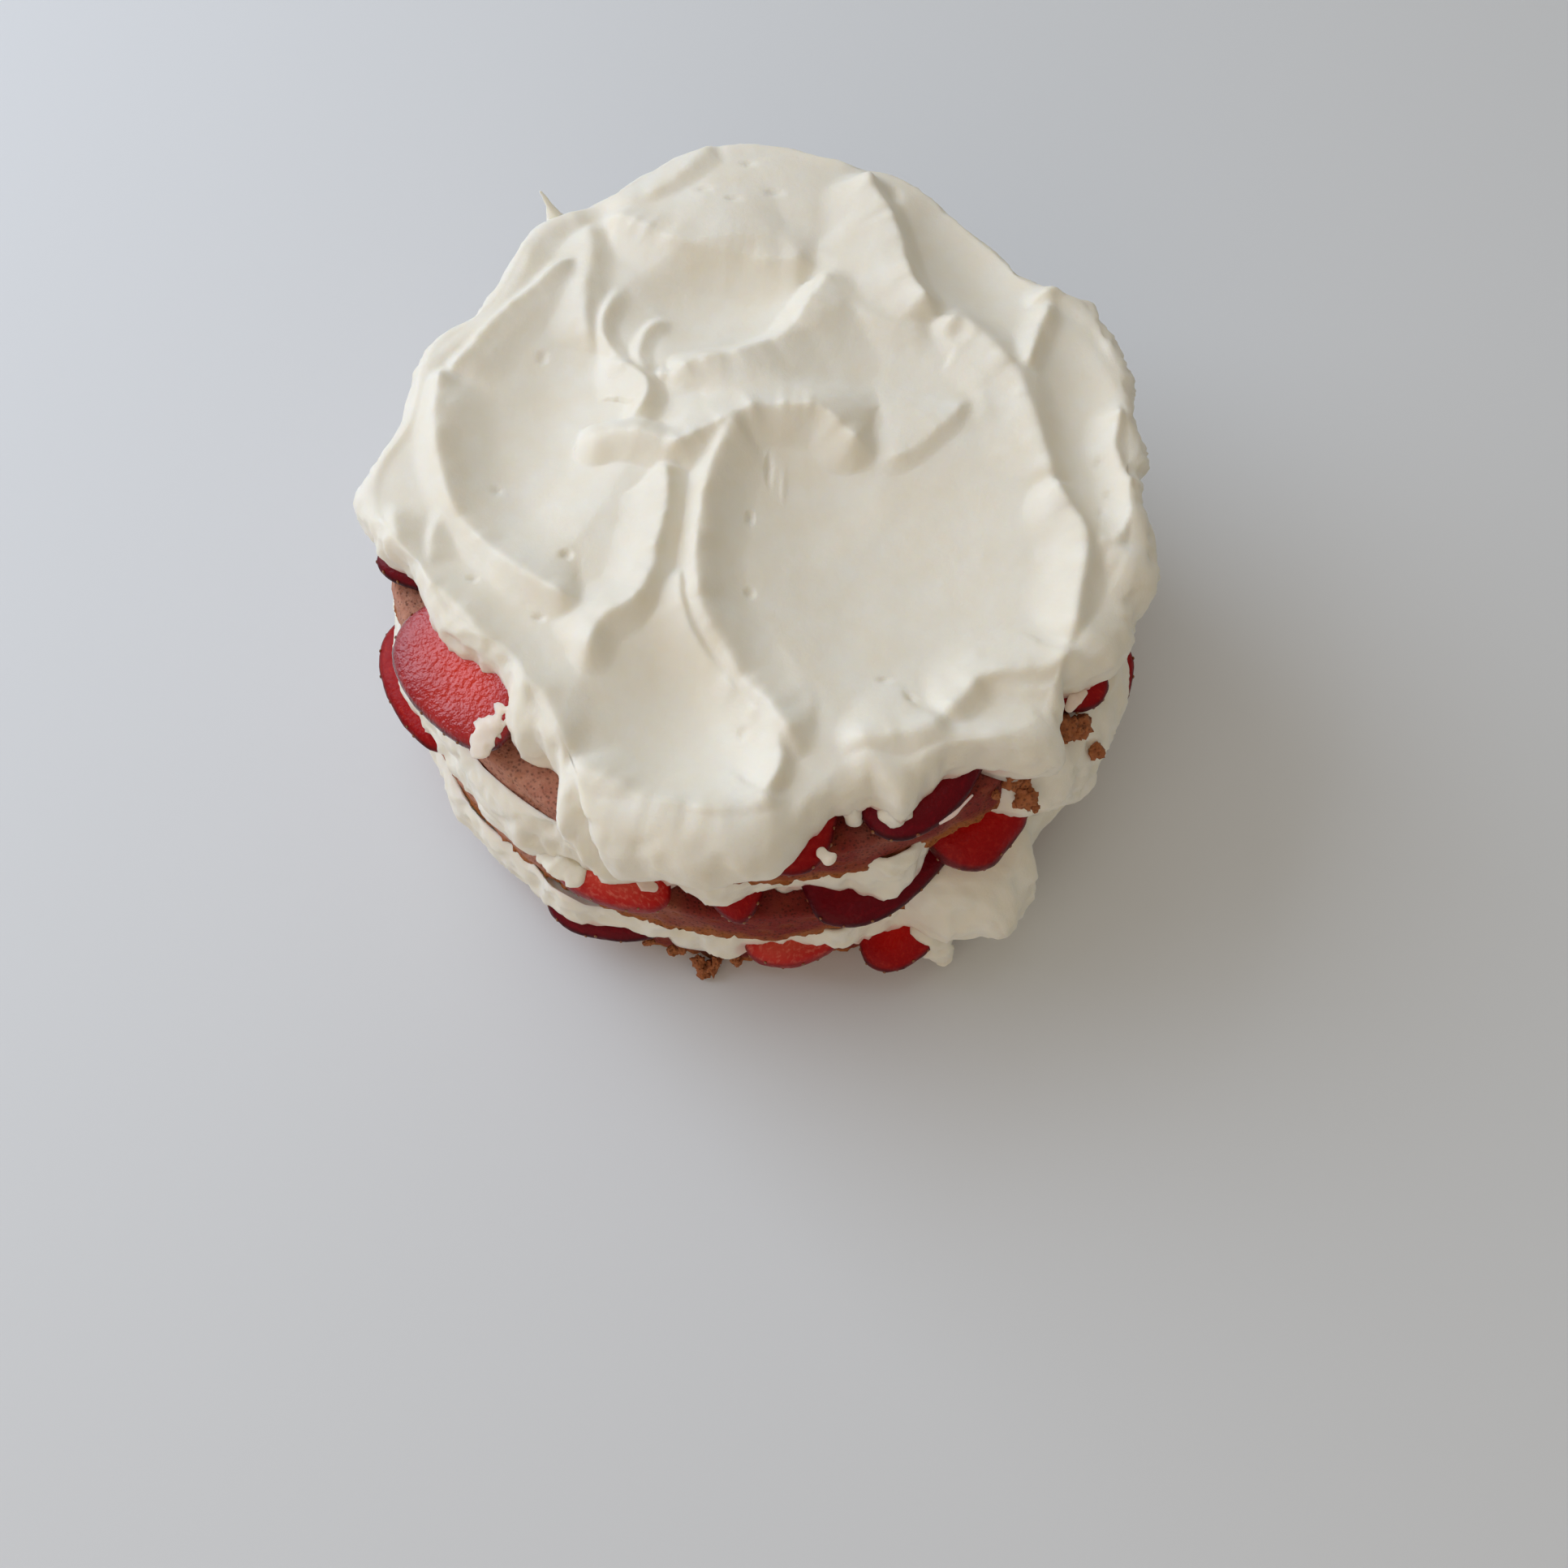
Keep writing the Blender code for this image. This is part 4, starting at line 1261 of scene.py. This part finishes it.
@dataclass(frozen=True)
class Crumbs:
    """Crumbs that broke off the sponges, as (x, y, z, size)."""

    places: Sequence[tuple[float, float, float, float]]
    torn: float = 0.85

    def build(self, finishes: Finishes) -> bpy.types.Object:
        """Builds the crumbs as one piece.

        Args:
            finishes: the cake's materials.

        Returns:
            Its object.
        """
        ball, faces = unit_ball(20, 12)
        pick = np.random.default_rng(8)
        blobs = []
        for x, y, z, size in self.places:
            stretch = pick.uniform(0.7, 1.2, 3)
            lumps = 1 + 0.5 * Noise(int(abs(x * 10 + y))).at(ball * 3.1 + 9, 1.3, 3)
            blobs.append((ball * stretch * (lumps * size / 2)[:, None] + np.array([x, y, z]), faces))
        thing = blob_mesh("loose_crumbs", blobs, finishes.sponge)
        torn = thing.data.attributes.new("torn", "FLOAT", "POINT")
        torn.data.foreach_set("value", np.full(len(thing.data.vertices), self.torn, np.float32))
        return thing


# The studio.


@dataclass(frozen=True)
class SoftLight:
    """A soft square light that faces the cake, with its place and side in metres."""

    name: str
    place: tuple[float, float, float]
    side: float
    watts: float
    tint: str

    def build(self) -> None:
        """Builds the light."""
        data = bpy.data.lights.new(self.name, "AREA")
        data.size, data.energy, data.color = self.side, self.watts, linear(self.tint)[:3]
        lamp = bpy.data.objects.new(self.name, data)
        bpy.context.scene.collection.objects.link(lamp)
        lamp.location = self.place
        aim = -lamp.location.normalized()
        lamp.rotation_euler = aim.to_track_quat("-Z", "Y").to_euler()


@dataclass(frozen=True)
class Studio:
    """A plain pale floor, soft light from the back left, and a camera that looks steeply down."""

    floor_colour: str = "E0E3E6"
    floor_reach: float = 4.0
    air_colour: str = "F2E9D6"
    air_strength: float = 0.34
    sensor_mm: float = 36.0
    lens_mm: float = 34.47
    nearest: float = 0.01
    furthest: float = 20.0
    camera_rows: Sequence[Sequence[float]] = (
        (0.99968856, -0.02495562, 0.0, 0.0067626),
        (0.02340257, 0.93747572, -0.34726302, -0.1673733),
        (0.00866616, 0.34715486, 0.93776777, 0.3544274),
        (0.0, 0.0, 0.0, 1.0),
    )
    lights: Sequence[SoftLight] = (
        SoftLight("window", (-0.897, 0.372, 0.705), side=1.0, watts=9.8, tint="E2EDFF"),
        SoftLight("overhead", (-0.3, 0.3, 1.2), side=0.9, watts=2.0, tint="EDF3FF"),
        SoftLight("room", (-0.4, -1.0, 0.7), side=1.2, watts=2.4, tint="FFE4CC"),
    )

    def build(self) -> None:
        """Builds the floor, the lights and the camera."""
        scene = bpy.context.scene
        scene.view_settings.view_transform = "Standard"
        mesh = bpy.data.meshes.new("floor")
        far = self.floor_reach
        mesh.from_pydata([(-far, -far, 0), (far, -far, 0), (far, far, 0), (-far, far, 0)], [], [(0, 1, 2, 3)])
        floor = bpy.data.objects.new("floor", mesh)
        scene.collection.objects.link(floor)
        matt = {"Base Color": linear(self.floor_colour), "Roughness": 0.7}
        mesh.materials.append(new_material("matt_floor", matt)[0])

        world = bpy.data.worlds.new("studio")
        world.use_nodes = True
        air = world.node_tree.nodes["Background"]
        air.inputs["Color"].default_value = linear(self.air_colour)
        air.inputs["Strength"].default_value = self.air_strength
        scene.world = world
        for light in self.lights:
            light.build()

        data = bpy.data.cameras.new("camera")
        data.sensor_width, data.lens = self.sensor_mm, self.lens_mm
        data.clip_start, data.clip_end = self.nearest, self.furthest
        camera = bpy.data.objects.new("camera", data)
        scene.collection.objects.link(camera)
        camera.matrix_world = Matrix(self.camera_rows)
        scene.camera = camera


# The cake.

SPONGES = (
    Sponge("sponge_bottom", BOTTOM_FLOOR, 83.0, 0.0, 0.0),
    Sponge("sponge_middle", MIDDLE_FLOOR, 83.5, -1.0, -1.0),
    Sponge("sponge_top", TOP_FLOOR, 82.3, -0.2, 1.3),
)

BOTTOM_SLICES = (
    Slice(-33.5, -71.0, -27, 32, 22, cut=Cut.DARK),
    Slice(9.5, -77.5, -6, 25, 20, 8.0, 0.5, cut=Cut.PALE),
    Slice(34.0, -76.0, 8, 22, 22, 6.5),
    Slice(75.0, 4.0, 80, 32, 24),
    Slice(55.0, 50.0, 40, 30, 23, cut=Cut.DARK),
    Slice(8.0, 74.0, 175, 34, 24),
    Slice(-44.0, 60.0, 130, 30, 24, 7.0, 0.4, cut=Cut.PALE),
    Slice(-74.0, 12.0, -95, 33, 24),
)
MIDDLE_SLICES = (
    Slice(-73.0, -28.5, -78, 37, 24, 6.0),
    Slice(-30.0, -71.5, -37, 31, 20, 9.0, 0.8, cut=Cut.PALE),
    Slice(-4.0, -72.0, -80, 25, 17, 7.0, 0.5),
    Slice(27.5, -69.5, 27, 40, 23, 6.5, cut=Cut.DARK),
    Slice(45.2, -59.4, 140, 30, 24, 9.5, 0.3, 6.8),
    Slice(74.0, -24.0, -78, 30, 25, 6.0),
    Slice(74.0, 18.0, 75, 33, 24, cut=Cut.DARK),
    Slice(48.0, 58.0, 130, 33, 24),
    Slice(4.0, 74.0, 100, 28, 24, 8.0, 0.7, cut=Cut.PALE),
    Slice(-38.0, 65.0, 205, 33, 23),
    Slice(-71.0, 25.0, 250, 32, 24, cut=Cut.DARK),
)
TOP_SLICES = (
    Slice(-58.5, -41.5, -65, 38, 26, 6.0, droop=14.0, cut=Cut.GLOSSY),
    Slice(-67.5, -13.5, 190, 27, 20, cut=Cut.DARK),
    Slice(4.0, -69.0, 165, 31, 24),
    Slice(33.0, -60.0, 32, 33, 24, 6.0, cut=Cut.DARK),
    Slice(60.0, -35.0, -34, 29, 23),
    Slice(67.0, 6.0, 10, 28, 22),
    Slice(53.0, 46.0, 125, 33, 24),
    Slice(12.0, 68.0, 80, 29, 23, cut=Cut.DARK),
    Slice(-27.0, 66.0, 200, 33, 24),
    Slice(-54.5, 37.0, 144, 29, 23),
)

LOWER_FILLING_OUTLINE = (
    (-170, 86), (-153, 85), (-140, 87.5), (-128, 86), (-119, 89), (-108, 85), (-96, 84.5), (-84, 82),
    (-76, 86), (-72, 84), (-66, 84), (-61, 93), (-53, 98), (-47, 95), (-43, 87), (-35, 85.5), (-24, 88),
    (-10, 85), (6, 88), (22, 84.5), (40, 88), (58, 85), (76, 87), (95, 84), (118, 88), (137, 85), (158, 88),
)
LOWER_FILLING_RISE = (
    (-150, 2.5), (-125, 2), (-100, 2), (-80, 2), (-72, 2), (-65, 10), (-58, 13), (-36, 12), (-22, 6), (-8, 3),
    (120, 3),
)
UPPER_FILLING_OUTLINE = (
    (-168, 82.5), (-157, 86), (-144, 83.5), (-128, 85.5), (-115, 84), (-104, 79), (-97, 82), (-88, 78),
    (-80, 77.5), (-75, 79), (-72, 82.5), (-69, 84.5), (-66, 84), (-63, 81), (-59, 77.5), (-52, 80), (-47, 86),
    (-40, 88), (-33, 90), (-24, 88), (-14, 85.5), (2, 88), (18, 84), (36, 88), (55, 84), (74, 87.5),
    (92, 83.5), (112, 88), (130, 84), (150, 87), (172, 84),
)
UPPER_FILLING_RISE = (
    (-150, 4), (-135, 6), (-118, 6), (-104, 4), (-90, 2), (-76, 5), (-60, 5), (-54, 3), (-48, 10), (-36, 11),
    (-25, 6), (-8, 3), (120, 3),
)
TOP_CREAM_OUTLINE = (
    (-176, 85), (-168, 80), (-160, 73), (-150, 73), (-138, 68), (-127, 75.5), (-121, 75), (-115, 84),
    (-109, 88), (-103, 86), (-94, 87), (-87, 85), (-80, 77), (-76, 73), (-71, 73.5), (-67.5, 78), (-62, 74.5),
    (-54, 75), (-48, 84), (-43.5, 86), (-40.5, 80.5), (-36, 78.5), (-27, 83), (-12, 85), (-1, 81.5),
    (14, 83.5), (24, 87.5), (33, 88), (38, 82), (54, 82), (68, 85.5), (80, 84), (94, 87), (108, 85),
    (116, 80.5), (129, 83), (144, 76), (160, 81), (170, 78),
)
TOP_CREAM_ROLL = (
    (-176, 5), (-160, 3), (-146, 4), (-131, 7), (-118, 7), (-105, 11), (-92, 11), (-80, 8), (-70, 10),
    (-62, 6), (-54, 5), (-46, 7), (-38, 6), (-26, 9), (-14, 8), (10, 5), (32, 6), (60, 3), (90, 3), (120, 4),
    (150, 6),
)

TOP_CREAM_LUMPS = (
    (-170, 1.3), (-130, 1.3), (-112, 1.3), (-98, 0.8), (-60, 0.8), (-20, 1.1), (0, 1.7), (25, 1.7), (50, 1.2),
    (100, 0.9),
)

FOLDS = tuple(
    Fold(*row)
    for row in (
        (-118, -102, 2.2, 4.4), (-127, -121, 1.8, 2.0), (-136, -132, 2.2, 1.6), (-96, -88, 2.6, 1.4),
        (-80, -78, 2.4, 1.2), (-69, -71, 2.0, 0.9), (-57, -60, 2.2, 1.4), (-49, -51, 1.8, 1.6),
        (-34, -38, 2.0, 2.0), (-18, -21, 2.0, 1.6), (2, 5, 1.8, 2.0), (19, 15, 2.0, 1.8), (44, 48, 2.6, 2.0),
        (76, 71, 2.6, 1.8), (108, 112, 2.4, 1.8), (150, 146, 2.4, 1.8), (-162, -166, 2.4, 1.8),
    )
)
CRESTS = (
    Crest("left bowl outer ridge", ((-40.5, 54), (-44.5, 50), (-49.5, 44), (-55.5, 37), (-59, 33), (-62, 27),
        (-65, 23.5), (-67, 20)), 3.0, 9, 4),
    Crest("left bowl rim", ((-67, 25.5), (-67.5, 19.5), (-67.5, 11), (-66.5, 4), (-64.5, -2.5), (-63, -7.5),
        (-60.5, -12), (-57, -16), (-52, -21), (-47, -25), (-42, -28.5), (-37, -31), (-32.5, -31.5)), 3.6, 12,
        5, softness=0.8),
    Crest("upper left fold", ((-37.5, 66), (-40.5, 65), (-46, 63), (-51, 58), (-52.5, 50), (-56, 41.5),
        (-58.5, 36.5), (-65.5, 29.5), (-70.5, 25.5), (-73.5, 20.5)), 1.6, 6, 10, softness=1.2),
    Crest("bowl top right", ((-40, 64.5), (-38.5, 58.5), (-38, 51.5), (-38.5, 45.5), (-38.5, 39),
        (-37.5, 33.5), (-35.5, 28.5)), 2.2, 5, 9, softness=1.0),
    Crest("parallel nick", ((-37.5, 59.5), (-37.5, 53), (-36.5, 47), (-35.5, 41), (-35, 35.5)), 0.8, 1.8, 1.8,
        hollow=1.2),
    Crest("first tip", ((-29.5, 46), (-31.5, 43.5), (-33.5, 39.5), (-34.5, 35.5), (-34, 32), (-32, 28.5),
        (-29, 25), (-25.5, 22), (-23, 20)), 2.2, 3.2, 2.4, end_taper=8.0, hollow=1.4),
    Crest("second tip", ((-19.5, 38.5), (-22.5, 37), (-25, 34), (-26, 30.5), (-26.5, 26.5), (-24.5, 22.5),
        (-22.5, 21)), 1.7, 3.0, 2.4, end_taper=5.0, hollow=1.4),
    Crest("middle edge", ((-35.5, 28), (-31.5, 25.5), (-27, 22.5), (-24, 19), (-23.5, 16.5), (-24, 13.5),
        (-26.5, 11.5), (-29, 10.5)), 3.0, 4, 12),
    Crest("upper ridge", ((11.5, 52), (13.5, 47.5), (10.5, 42.5), (7.5, 36.5), (5, 32.5), (1.5, 29.5),
        (-2.5, 27), (-6.5, 25), (-11, 24), (-15, 23), (-18, 21), (-21, 20)), 4.2, 20, 5.5, hollow=1.3),
    Crest("hook", ((-23, 21.5), (-20.5, 22), (-18, 21), (-16.5, 18.5)), 1.2, 2, 2.4, end_taper=2.0),
    Crest("tongue", ((-33.5, 6.2), (-30.5, 6.6), (-27, 6.5), (-22.5, 5), (-18.5, 3.5)), 4.4, 4.6, 4.4,
        softness=1.5, hollow=1.1, blunt=1.0),
    Crest("main ridge", ((-21.5, 1), (-18.5, 1.5), (-14, 4.5), (-7.5, 8.5), (-2, 11.5), (1.5, 12.5),
        (6.5, 12.5), (11, 12.5), (13.5, 11.5), (16, 9.5), (18, 7.5), (21, 5.5), (24.5, 4.5)), 4.8, 15, 7,
        hollow=1.5),
    Crest("left bowl right wall", ((-21.5, 1), (-19.5, -1), (-18, -5), (-18, -9), (-18.5, -14),
        (-19.5, -18.5), (-20, -23), (-21, -27), (-22.5, -31), (-25.5, -33.5), (-29, -35.5), (-30.5, -37.5),
        (-31.5, -40.5), (-32.5, -43.5), (-34.5, -46)), 4.2, 4, 9, softness=1.0, hollow=1.5),
    Crest("right bowl left wall", ((-2, 12), (-5, 8.5), (-7.5, 4), (-9, -0.5), (-10.5, -6.5), (-11, -12.5),
        (-11.5, -18.5), (-11.5, -24.5), (-11, -30), (-9.5, -35), (-6.5, -39.5), (-3.5, -44.5), (0, -49),
        (3, -52), (5, -55.5), (7, -58), (9, -60.5), (10.5, -63)), 4.6, 9, 4.5, softness=1.2),
    Crest("scoop right wall", ((-15, -22), (-15, -27.5), (-14, -32.5), (-12, -38), (-8.5, -42.5),
        (-4.5, -47.5), (0, -52.5), (3, -55.5), (5, -58.5), (6, -62.5), (5.5, -66.5), (3.5, -70),
        (0.5, -72.5)), 3.2, 3, 9),
    Crest("scoop front rim", ((-35, -63.5), (-32, -66), (-27.5, -68), (-22.5, -70.5), (-18.5, -72.5),
        (-12.5, -73), (-6, -74.5), (-1, -74), (3.5, -72), (6, -67)), 3.2, 9, 8, softness=1.4),
    Crest("left rim", ((-74.5, -8), (-73.5, -13.5), (-72, -20), (-69.5, -24.5), (-64.5, -28), (-61, -30.5),
        (-57, -34.5), (-53.5, -39), (-50, -42.5), (-47, -46), (-44.5, -48.5), (-41, -50.5), (-39, -53.5),
        (-37, -57.5), (-35, -61.5), (-34.5, -64.5)), 2.6, 8, 6, softness=0.8),
    Crest("left fold", ((-60, -12), (-63, -10.5), (-64.5, -13), (-65.5, -17), (-65.5, -22), (-65, -26)), 1.4,
        7, 3),
    Crest("back step", ((-37, 64.5), (-31.5, 62.5), (-27, 59.5), (-20.5, 56), (-14, 54.5), (-7.5, 53.5),
        (-2.5, 52.5), (3, 52), (8, 52.5), (12, 51.5)), 3.6, 24, 8, hollow=1.5),
    Crest("back left rim", ((-37.5, 68.5), (-32.5, 68), (-27, 68.5), (-23, 71.5), (-18.5, 75.5), (-16, 79.5),
        (-13.5, 82.5), (-9, 83.5)), 1.8, 8, 5, softness=1.2),
    Crest("back rim", ((-14.5, 82.5), (-10, 84), (-3.5, 85), (4, 85.5), (9.5, 84), (15, 82.5), (19.5, 81),
        (22, 79)), 1.5, 4, 5, softness=1.2),
    Crest("back scoop edge", ((20.5, 78.5), (22, 74.5), (22.5, 70.5), (25, 67), (27.5, 62), (29, 56),
        (30, 50.5), (31, 47), (33, 43), (35.5, 39.5), (36.5, 36.5)), 5.0, 5, 24, hollow=1.5),
    Crest("plateau edge", ((35.5, 39.5), (38, 37.5), (42.5, 36.5), (45.5, 34.5), (48, 32), (50.5, 28),
        (53, 25.5), (55, 20.5), (56.5, 14.5), (58, 8), (59.5, 2), (61, -3.5)), 3.2, 7, 12, softness=1.0),
    Crest("right bowl right wall", ((59.5, 2), (61, -4), (65, -10.5), (66.5, -15), (65.5, -21.5), (64, -28.5),
        (63, -35.5), (62, -39)), 4.0, 5, 10, softness=0.8),
    Crest("right bowl corner", ((63, -34.5), (62, -39), (59, -42), (54.5, -43), (48.5, -43.5), (44, -45),
        (42, -48), (39, -51.5), (35.5, -55.5)), 3.6, 5, 10, softness=1.0),
    Crest("right bowl front", ((39, -51.5), (35.5, -55.5), (32, -57), (26, -58), (20.5, -59.5), (17, -61.5)),
        3.6, 8, 12, softness=1.6),
    Crest("step", ((23, 3.5), (27, 4), (31.5, 6), (36, 10), (39.5, 13.5), (42, 17), (43, 21)), 1.5, 18, 3,
        hollow=1.3),
    Crest("bump", ((43.5, 29.5), (45.5, 25), (47, 19.5), (47.5, 14.5), (48.5, 9.5)), 0.8, 5, 5, softness=1.5),
    Crest("scoop end", ((14, 50.5), (17.5, 44.5), (22, 39), (27.5, 36.5), (33, 37), (36.5, 40)), 1.2, 10, 7,
        softness=1.5),
    Crest("right flap", ((63, 46.5), (60.5, 41), (58.5, 35.5), (56.5, 29), (54.5, 23.5)), 3.4, 4, 5),
    Crest("back right rim", ((56, 44), (60, 46.5), (64.5, 48), (69, 47.5), (72, 45.5), (75, 43), (77, 39.5),
        (77.5, 34.5), (76, 29)), 2.6, 4, 6, ragged=0.5),
    Crest("right rim", ((76, 21.5), (75, 16), (73.5, 9), (74.5, 4), (76, -2), (76, -7.5), (74.5, -12),
        (71, -14.5), (67.5, -14), (66, -11.5)), 3.0, 4, 6, ragged=0.5),
    Crest("right roll", ((67.5, -15.5), (72, -16), (75.5, -18), (76.5, -23.5), (75.5, -30), (73, -36),
        (69.5, -39.5), (65, -43.5), (59, -46)), 2.4, 6, 5, softness=1.5),
    Crest("corner fold", ((44, -45.5), (49, -46.5), (55, -47), (60, -46), (64.5, -44), (68, -41)), 1.2, 3, 3),
    Crest("front right rim", ((21, -59), (27.5, -58), (35.5, -57.5), (43, -57.5), (52.5, -56.5),
        (58.5, -54.5), (59.5, -51)), 1.8, 6, 6, softness=1.2),
    Crest("outer left rim", ((-75, 19.5), (-76.5, 11.5), (-79.5, 4.5), (-82, -1), (-82.5, -7), (-82, -12.5)),
        1.8, 5, 4, ragged=0.4),
)
BOWLS = tuple(
    Bowl(*row)
    for row in (
        (-45, 8, 20, 42, -22, 4.2), (26, -22, 42, 38, -30, 5.8), (8, -6, 20, 16, 20, 1.2),
        (-12, -54, 24, 21, 15, 6.0), (-8, 42, 27, 15, 14, 4.4), (18, 27, 30, 12, -15, 2.4),
        (46, 54, 13, 24, 32, 3.6), (68, 12, 10, 26, 8, 2.8), (-2, 74, 42, 22, 0, -4.0),
        (-38, -21, 1.6, 1.6, 0, 0.9), (-47, 28, 1.3, 2.0, 0, 0.5), (-54, -4.5, 1.4, 1.4, 0, 0.5),
        (-56.5, -26, 1.5, 1.2, 0, 0.6), (-42.5, -34.5, 1.6, 1.1, 0, 0.6), (-1.5, -57, 1.4, 1.8, 0, 0.6),
        (-1.5, -10.5, 1.3, 1.9, 0, 0.6), (-1, -27.5, 1.5, 1.5, 0, 0.7), (26, -45, 1.8, 1.0, 0, 0.5),
        (31, -49, 1.2, 1.2, 0, 0.5), (-4.5, 78, 2.0, 1.2, 0, 0.7), (-14, 70, 2.2, 1.1, 0, 0.6),
        (-18, 84, 1.6, 1.1, 0, 0.6), (-7.5, 67, 2.4, 0.9, 0, 0.6), (1.5, 69.5, 2.6, 0.9, 0, 0.6),
        (71, 6, 1.3, 1.5, 0, 0.8), (72.5, -2, 1.5, 1.2, 0, 0.8), (70.5, -6.5, 1.2, 1.2, 0, 0.7),
        (2, 0.5, 1.0, 4.2, 0, 0.7), (5, -2, 0.8, 5.0, 0, -0.35), (41.5, 34.5, 3.2, 3.0, 0, 0.8),
        (28, 72, 2.4, 3.2, 0, 0.9),
    )
)
DABS = (
    Dab("drip_small", ((19.6, -66.0, 78.5), (20.3, -68.6, 75.0), (21.1, -69.8, 72.6)), (5.5, 4.6, 3.6)),
    Dab("drip_long", ((28.0, -64.5, 79.5), (28.8, -68.5, 76.0), (29.4, -70.8, 72.6)), (7.5, 6.4, 5.4)),
    Dab("drip_low", ((41.0, -76.5, 16.0), (43.6, -79.2, 10.0), (45.6, -80.6, 4.6)), (9.5, 7.5, 4.2)),
    Dab("dab_on_slice",
        ((-45.3, -49.0, 79.8), (-48.6, -50.8, 78.9), (-51.6, -54.4, 77.6), (-54.6, -58.8, 75.9)),
        (5.0, 4.4, 7.6, 3.4), flatness=0.3, stain=0.16, lumpy=0.75),
    Dab("dab_front", ((14.6, -78.4, 76.0), (15.8, -79.2, 75.8)), (2.6, 3.0), flatness=0.8, stain=0.1),
    Dab("smear_dark", ((37.6, -71.6, 75.7), (40.6, -69.4, 75.9), (44.0, -65.6, 75.7)),
        (0.5, 0.9, 0.5), flatness=0.5, stain=0.5),
    Dab("smear_right", ((63.9, -46.5, 75.9), (65.4, -44.6, 76.3), (66.9, -43.0, 76.2)),
        (1.6, 3.0, 1.8), flatness=0.5, stain=0.3),
    Dab("smear_pale", ((-30.1, -74.4, 50.6), (-25.4, -75.6, 50.4), (-20.6, -78.0, 48.6)),
        (1.4, 4.2, 2.8), flatness=0.3, stain=0.35, lumpy=0.45),
    Dab("lap_on_slice", ((-42.6, -70.6, 50.0), (-40.0, -73.4, 50.2), (-37.4, -76.4, 49.6)),
        (6.5, 7.5, 5.5), flatness=0.55),
    Dab("peak_back", ((-47.6, 67.4, 82.0), (-48.7, 68.2, 85.4), (-50.3, 69.3, 88.2)), (4.0, 1.5, 0.6)),
)
CRUMBS = Crumbs(
    (
        (64.4, -49.0, 72, 4.6), (67.5, -47.3, 69.5, 4.2), (72.3, -49.2, 60.3, 4.2), (65.9, -49.9, 71, 3.5),
        (53, -59.6, 68.4, 4.4), (55.6, -59.4, 67.4, 3.2), (56.4, -61.8, 65, 4.6), (58.6, -63.2, 63, 2.4),
        (50.2, -62.0, 66.4, 2.6), (54.6, -63.0, 64.0, 1.8),
        (-11.4, -85.6, 2.2, 3.6), (-12.6, -83.4, 4.2, 4.2), (-9.6, -84.4, 2.6, 3.6), (-8.2, -83.2, 4.4, 3.0),
        (-24.2, -80.4, 10.4, 2.6), (-18.4, -81.8, 8.6, 2.8), (-16.2, -82, 9.4, 2.4), (-3.4, -83.4, 6.4, 2.8),
    )
)


def keep(things: Iterable[bpy.types.Object], node: str | None = None) -> None:
    """Makes pieces ride with the cake, and stand for a solid.

    Args:
        things: the pieces.
        node: the solid that the first of them stands for.
    """
    for number, thing in enumerate(things):
        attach(thing, BODY)
        if node and number == 0:
            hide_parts(node)
        log.info("%s: %d faces", thing.name, len(thing.data.polygons))


def main() -> None:
    """Builds the cake from the bottom up, then the studio."""
    logging.basicConfig(level=logging.INFO, format="%(name)s %(message)s")
    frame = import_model()
    log.info("frame with %d nodes", len(frame["nodes"]))
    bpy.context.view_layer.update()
    finishes = Finishes()
    bottom, middle, top = SPONGES
    for sponge in SPONGES:
        keep([sponge.build(finishes)], sponge.name)
    rest = SPONGE_THICKNESS + GAP
    layers = (
        StrawberryLayer("bottom", bottom.floor + rest, BOTTOM_SLICES),
        StrawberryLayer("middle", middle.floor + rest, MIDDLE_SLICES),
        StrawberryLayer("top", top.floor + rest, TOP_SLICES),
    )
    for layer in layers:
        keep(layer.build(finishes))
    lower = Filling("cream_lower", bottom, middle, layers[0], LOWER_FILLING_OUTLINE, LOWER_FILLING_RISE)
    upper = Filling("cream_upper", middle, top, layers[1], UPPER_FILLING_OUTLINE, UPPER_FILLING_RISE)
    for filling in (lower, upper):
        keep([filling.build(finishes)], filling.name)
    cream = TopCream(top, layers[2], TOP_CREAM_OUTLINE, TOP_CREAM_ROLL, TOP_CREAM_LUMPS, FOLDS, CRESTS, BOWLS)
    keep([cream.build(finishes)], "cream_top")
    keep([dab.build(finishes) for dab in DABS])
    keep([CRUMBS.build(finishes)])
    Studio().build()


if __name__ == "__main__":
    main()
